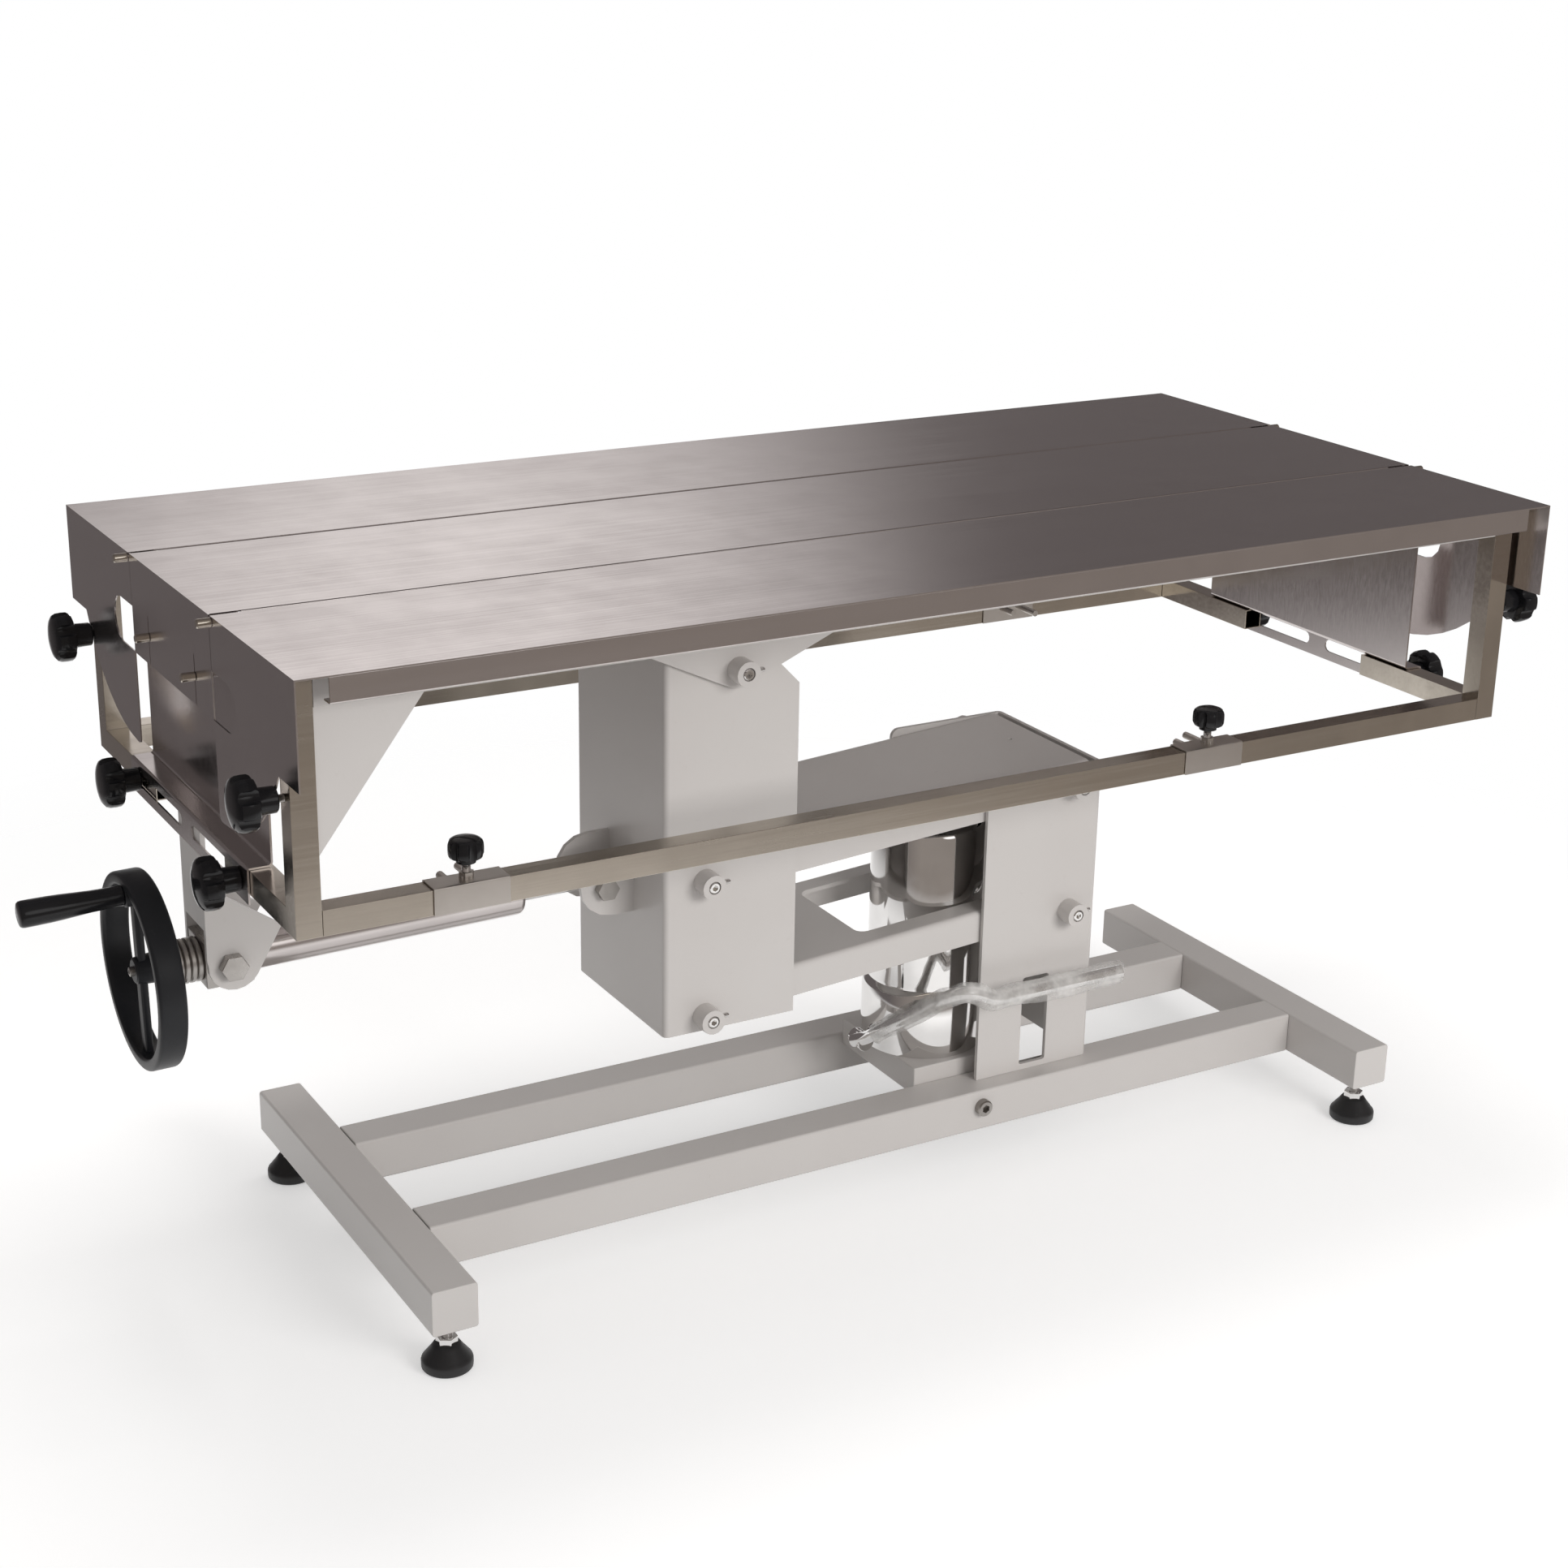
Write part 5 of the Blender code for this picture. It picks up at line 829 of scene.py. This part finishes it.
def bar_along(points, radius, resolution=6, sides=5, flare=1.0):
    """A round bar along a smooth curve through points, widened evenly towards its last point."""
    curve = bpy.data.curves.new("bar", "CURVE")
    curve.dimensions = "3D"
    curve.bevel_depth = radius
    curve.bevel_resolution = sides
    curve.use_fill_caps = True
    spline = curve.splines.new("BEZIER")
    spline.bezier_points.add(len(points) - 1)
    for index, point in enumerate(points):
        knot = spline.bezier_points[index]
        knot.radius = 1 + (flare - 1) * index / (len(points) - 1)
        knot.co = Vector(point) + X * MIDDLE_X
        knot.handle_left_type = knot.handle_right_type = "AUTO"
    spline.resolution_u = resolution
    piece = bpy.data.objects.new("bar", curve)
    bpy.context.scene.collection.objects.link(piece)
    only(piece)
    bpy.ops.object.convert(target="MESH")
    piece = bpy.context.object
    edit(piece)
    bpy.ops.mesh.remove_doubles(threshold=0.00001)
    bpy.ops.mesh.normals_make_consistent(inside=False)
    leave()
    return piece


def lever():
    """The bright lever on its hub, still wrapped in creased film."""
    bar = smooth(bar_along(LEVER_PATH, LEVER_RADIUS), 40)
    hub = turned([(-0.0125, 0.0098), (-0.0115, 0.0105), (0.0115, 0.0105), (0.0125, 0.0098)], 48)
    join(bar, stand(hub, LEVER_PIVOT + X * MIDDLE_X, Y))
    smooth(bar, 35)
    finished(bar, "bright_lever", BODY_OF["pedal_lever"], CHROME, "polished_chrome", "pedal_lever")
    wrap = bar_along(LEVER_PATH[FILM_START:], FILM_RADIUS, 14, 7, FILM_FLARE)
    applied(wrap, "SUBSURF", levels=1, render_levels=1)
    folds = bpy.data.textures.new("film_folds", "CLOUDS")
    folds.noise_scale = 0.032
    folds.noise_depth = 1
    applied(wrap, "DISPLACE", texture=folds, strength=0.0065, mid_level=0.40)
    finished(smooth(wrap, 60), "film_wrap", BODY_OF["lever_film"], FILM, "clear_film", "lever_film")


pump()
lever()


BASE_SCREW_X = 0.1545
BASE_SCREW_Z = 0.082


def base_screw():
    """The plated socket screw in the near base rail, in front of the pump."""
    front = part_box("base_rail_near")[0].y
    screw = turned([(-0.004, 0.0098), (0.0, 0.0098), (0.0072, 0.0098), (0.0086, 0.0084)], 48)
    cut(screw, prism(6, 0.0050, 0.0030, 0.02))
    stand(smooth(screw, 35), Vector((MIDDLE_X + BASE_SCREW_X, front, BASE_SCREW_Z)), -Y)
    finished(screw, "base_screw", BODY_OF["base_rail_near"], ZINC, "zinc_steel")


base_screw()


# Floor, light and camera


FLOOR_FULL = 1.0
FLOOR_GONE = 1.8
FLOOR_GLOW = 0.42
FLOOR_GAP = 0.0002


def seen_directly(tree):
    """One on camera, glossy and transmission rays, nought on the rays that light the object."""
    path = tree.nodes.new("ShaderNodeLightPath")
    seen = added(tree, path.outputs["Is Camera Ray"], path.outputs["Is Glossy Ray"])
    return added(tree, seen, path.outputs["Is Transmission Ray"])


def floor():
    """A pale floor that keeps the shadow and fades out into the white background."""
    bpy.ops.object.select_all(action="DESELECT")
    bpy.ops.mesh.primitive_circle_add(vertices=96, radius=3, fill_type="NGON",
                                      location=(0, 0, FLOOR_Z - FLOOR_GAP))
    plane = bpy.context.object
    plane.name = "floor"
    material = bpy.data.materials.new("pale_floor")
    material.use_nodes = True
    tree = material.node_tree
    shader = tree.nodes["Principled BSDF"]
    shader.inputs["Base Color"].default_value = (0.80, 0.80, 0.80, 1.0)
    shader.inputs["Roughness"].default_value = 0.9
    shader.inputs["Specular IOR Level"].default_value = 0.0
    shader.inputs["Emission Strength"].default_value = FLOOR_GLOW
    glow = blended(tree, seen_directly(tree), (0.0, 0.0, 0.0), (1.0, 1.0, 1.0))
    tree.links.new(glow, shader.inputs["Emission Color"])
    place = tree.nodes.new("ShaderNodeTexCoord")
    reach = add_node(tree, "ShaderNodeVectorMath", operation="LENGTH")
    tree.links.new(place.outputs["Object"], reach.inputs[0])
    fade = spread(tree, reach.outputs["Value"], FLOOR_FULL, FLOOR_GONE, 1.0, 0.0)
    tree.links.new(fade, shader.inputs["Alpha"])
    plane.data.materials.append(material)


BACKGROUND_HEADING = math.radians(30)
# Heading, rise, outer edge and full reach, in degrees
WINDOW = (22, 19, 12, 1)
KEY_SPOT = (166, 20, 17, 10)
PLAIN_LIGHT = 0.45


def soft_spot(tree, direction, heading, rise, edge, full):
    """One inside a round spot of the sky and nought outside its soft edge; angles in degrees."""
    heading, rise, edge, full = (math.radians(value) for value in (heading, rise, edge, full))
    spot = add_node(tree, "ShaderNodeVectorMath", operation="DOT_PRODUCT")
    tree.links.new(direction, spot.inputs[0])
    spot.inputs[1].default_value = (math.sin(heading) * math.cos(rise), math.cos(heading) * math.cos(rise),
                                    math.sin(rise))
    return spread(tree, spot.outputs["Value"], math.cos(edge), math.cos(full), 0.0, 1.0)


def world():
    """A white background, and a soft window and a dim room that only the metal shows."""
    scene_world = bpy.data.worlds.new("studio")
    bpy.context.scene.world = scene_world
    scene_world.use_nodes = True
    tree = scene_world.node_tree
    tree.nodes.clear()
    output = tree.nodes.new("ShaderNodeOutputWorld")
    direction = tree.nodes.new("ShaderNodeTexCoord").outputs["Generated"]
    split = tree.nodes.new("ShaderNodeSeparateXYZ")
    tree.links.new(direction, split.inputs["Vector"])
    heading = add_node(tree, "ShaderNodeMath", operation="ARCTAN2")
    tree.links.new(split.outputs["X"], heading.inputs[0])
    tree.links.new(split.outputs["Y"], heading.inputs[1])
    aside = add_node(tree, "ShaderNodeMath", operation="SUBTRACT")
    tree.links.new(heading.outputs[0], aside.inputs[0])
    aside.inputs[1].default_value = BACKGROUND_HEADING
    away = add_node(tree, "ShaderNodeMath", operation="ABSOLUTE")
    tree.links.new(aside.outputs[0], away.inputs[0])
    ahead = spread(tree, away.outputs[0], math.radians(22), math.radians(40), 1.0, 0.0)
    below = spread(tree, split.outputs["Z"], 0.0, 0.07, 1.0, 0.0)
    background = add_node(tree, "ShaderNodeMath", operation="MULTIPLY")
    tree.links.new(ahead, background.inputs[0])
    tree.links.new(below, background.inputs[1])
    glow = soft_spot(tree, direction, *WINDOW)
    depth = spread(tree, split.outputs["Y"], -0.7, 0.1, 0.0, 1.0)
    room = blended(tree, depth, (0.30, 0.265, 0.24), (0.145, 0.128, 0.127))
    room = blended(tree, soft_spot(tree, direction, *KEY_SPOT), room, (1.50, 1.47, 1.45))
    lit = blended(tree, glow, room, (1.22, 1.17, 1.155))
    studio = blended(tree, background.outputs[0], lit, (1.0, 1.0, 1.0))
    straight = tree.nodes.new("ShaderNodeLightPath").outputs["Is Camera Ray"]
    studio = blended(tree, straight, studio, (1.0, 1.0, 1.0))
    seen = add_node(tree, "ShaderNodeBackground")
    tree.links.new(studio, seen.inputs["Color"])
    plain = add_node(tree, "ShaderNodeBackground")
    plain.inputs["Color"].default_value = (1.0, 0.985, 0.975, 1.0)
    plain.inputs["Strength"].default_value = PLAIN_LIGHT
    mix = tree.nodes.new("ShaderNodeMixShader")
    tree.links.new(seen_directly(tree), mix.inputs["Fac"])
    tree.links.new(plain.outputs["Background"], mix.inputs[1])
    tree.links.new(seen.outputs["Background"], mix.inputs[2])
    tree.links.new(mix.outputs["Shader"], output.inputs["Surface"])


def lamp(name, place, aim, size, power, colour=(1.0, 1.0, 1.0)):
    """A soft square lamp aimed at a point."""
    data = bpy.data.lights.new(name, "AREA")
    data.shape = "RECTANGLE"
    data.size, data.size_y = size
    data.energy = power
    data.color = colour
    piece = bpy.data.objects.new(name, data)
    bpy.context.scene.collection.objects.link(piece)
    piece.location = place
    piece.rotation_euler = (Vector(aim) - Vector(place)).to_track_quat("-Z", "Y").to_euler()
    piece.visible_glossy = False


def lights():
    """A broad lamp beside the camera and a weaker one overhead."""
    lamp("key", (0.9, -3.6, 1.7), (0.1, 0, 0.45), (1.8, 1.3), 70, (1.0, 0.985, 0.975))
    lamp("overhead", (0.1, 0.5, 3.3), (0, 0, 0.5), (1.6, 1.2), 34, (1.0, 0.985, 0.975))


CAMERA_PLACE = Vector((-1.4288, -2.3899, 1.4478))
CAMERA_YAW = 30.117
CAMERA_PITCH = -19.527
CAMERA_ROLL = 1.06
FOCAL_PIXELS = 3245.0
PHOTO_PIXELS = 1932.0


def camera():
    """The photograph's viewpoint, in the row frame."""
    data = bpy.data.cameras.new("camera")
    data.sensor_width = 36.0
    data.lens = FOCAL_PIXELS / PHOTO_PIXELS * data.sensor_width
    piece = bpy.data.objects.new("camera", data)
    bpy.context.scene.collection.objects.link(piece)
    yaw, pitch, roll = (math.radians(value) for value in (CAMERA_YAW, CAMERA_PITCH, CAMERA_ROLL))
    ahead = Vector((math.sin(yaw) * math.cos(pitch), math.cos(yaw) * math.cos(pitch), math.sin(pitch)))
    right = ahead.cross(Z).normalized()
    up = right.cross(ahead)
    tilted_right = right * math.cos(roll) + up * math.sin(roll)
    tilted_up = up * math.cos(roll) - right * math.sin(roll)
    turn = Matrix((tilted_right, tilted_up, -ahead)).transposed().to_4x4()
    piece.matrix_world = Matrix.Translation(CAMERA_PLACE + X * MIDDLE_X) @ turn
    bpy.context.scene.camera = piece


floor()
world()
lights()
camera()
bpy.context.scene.view_settings.view_transform = "Standard"
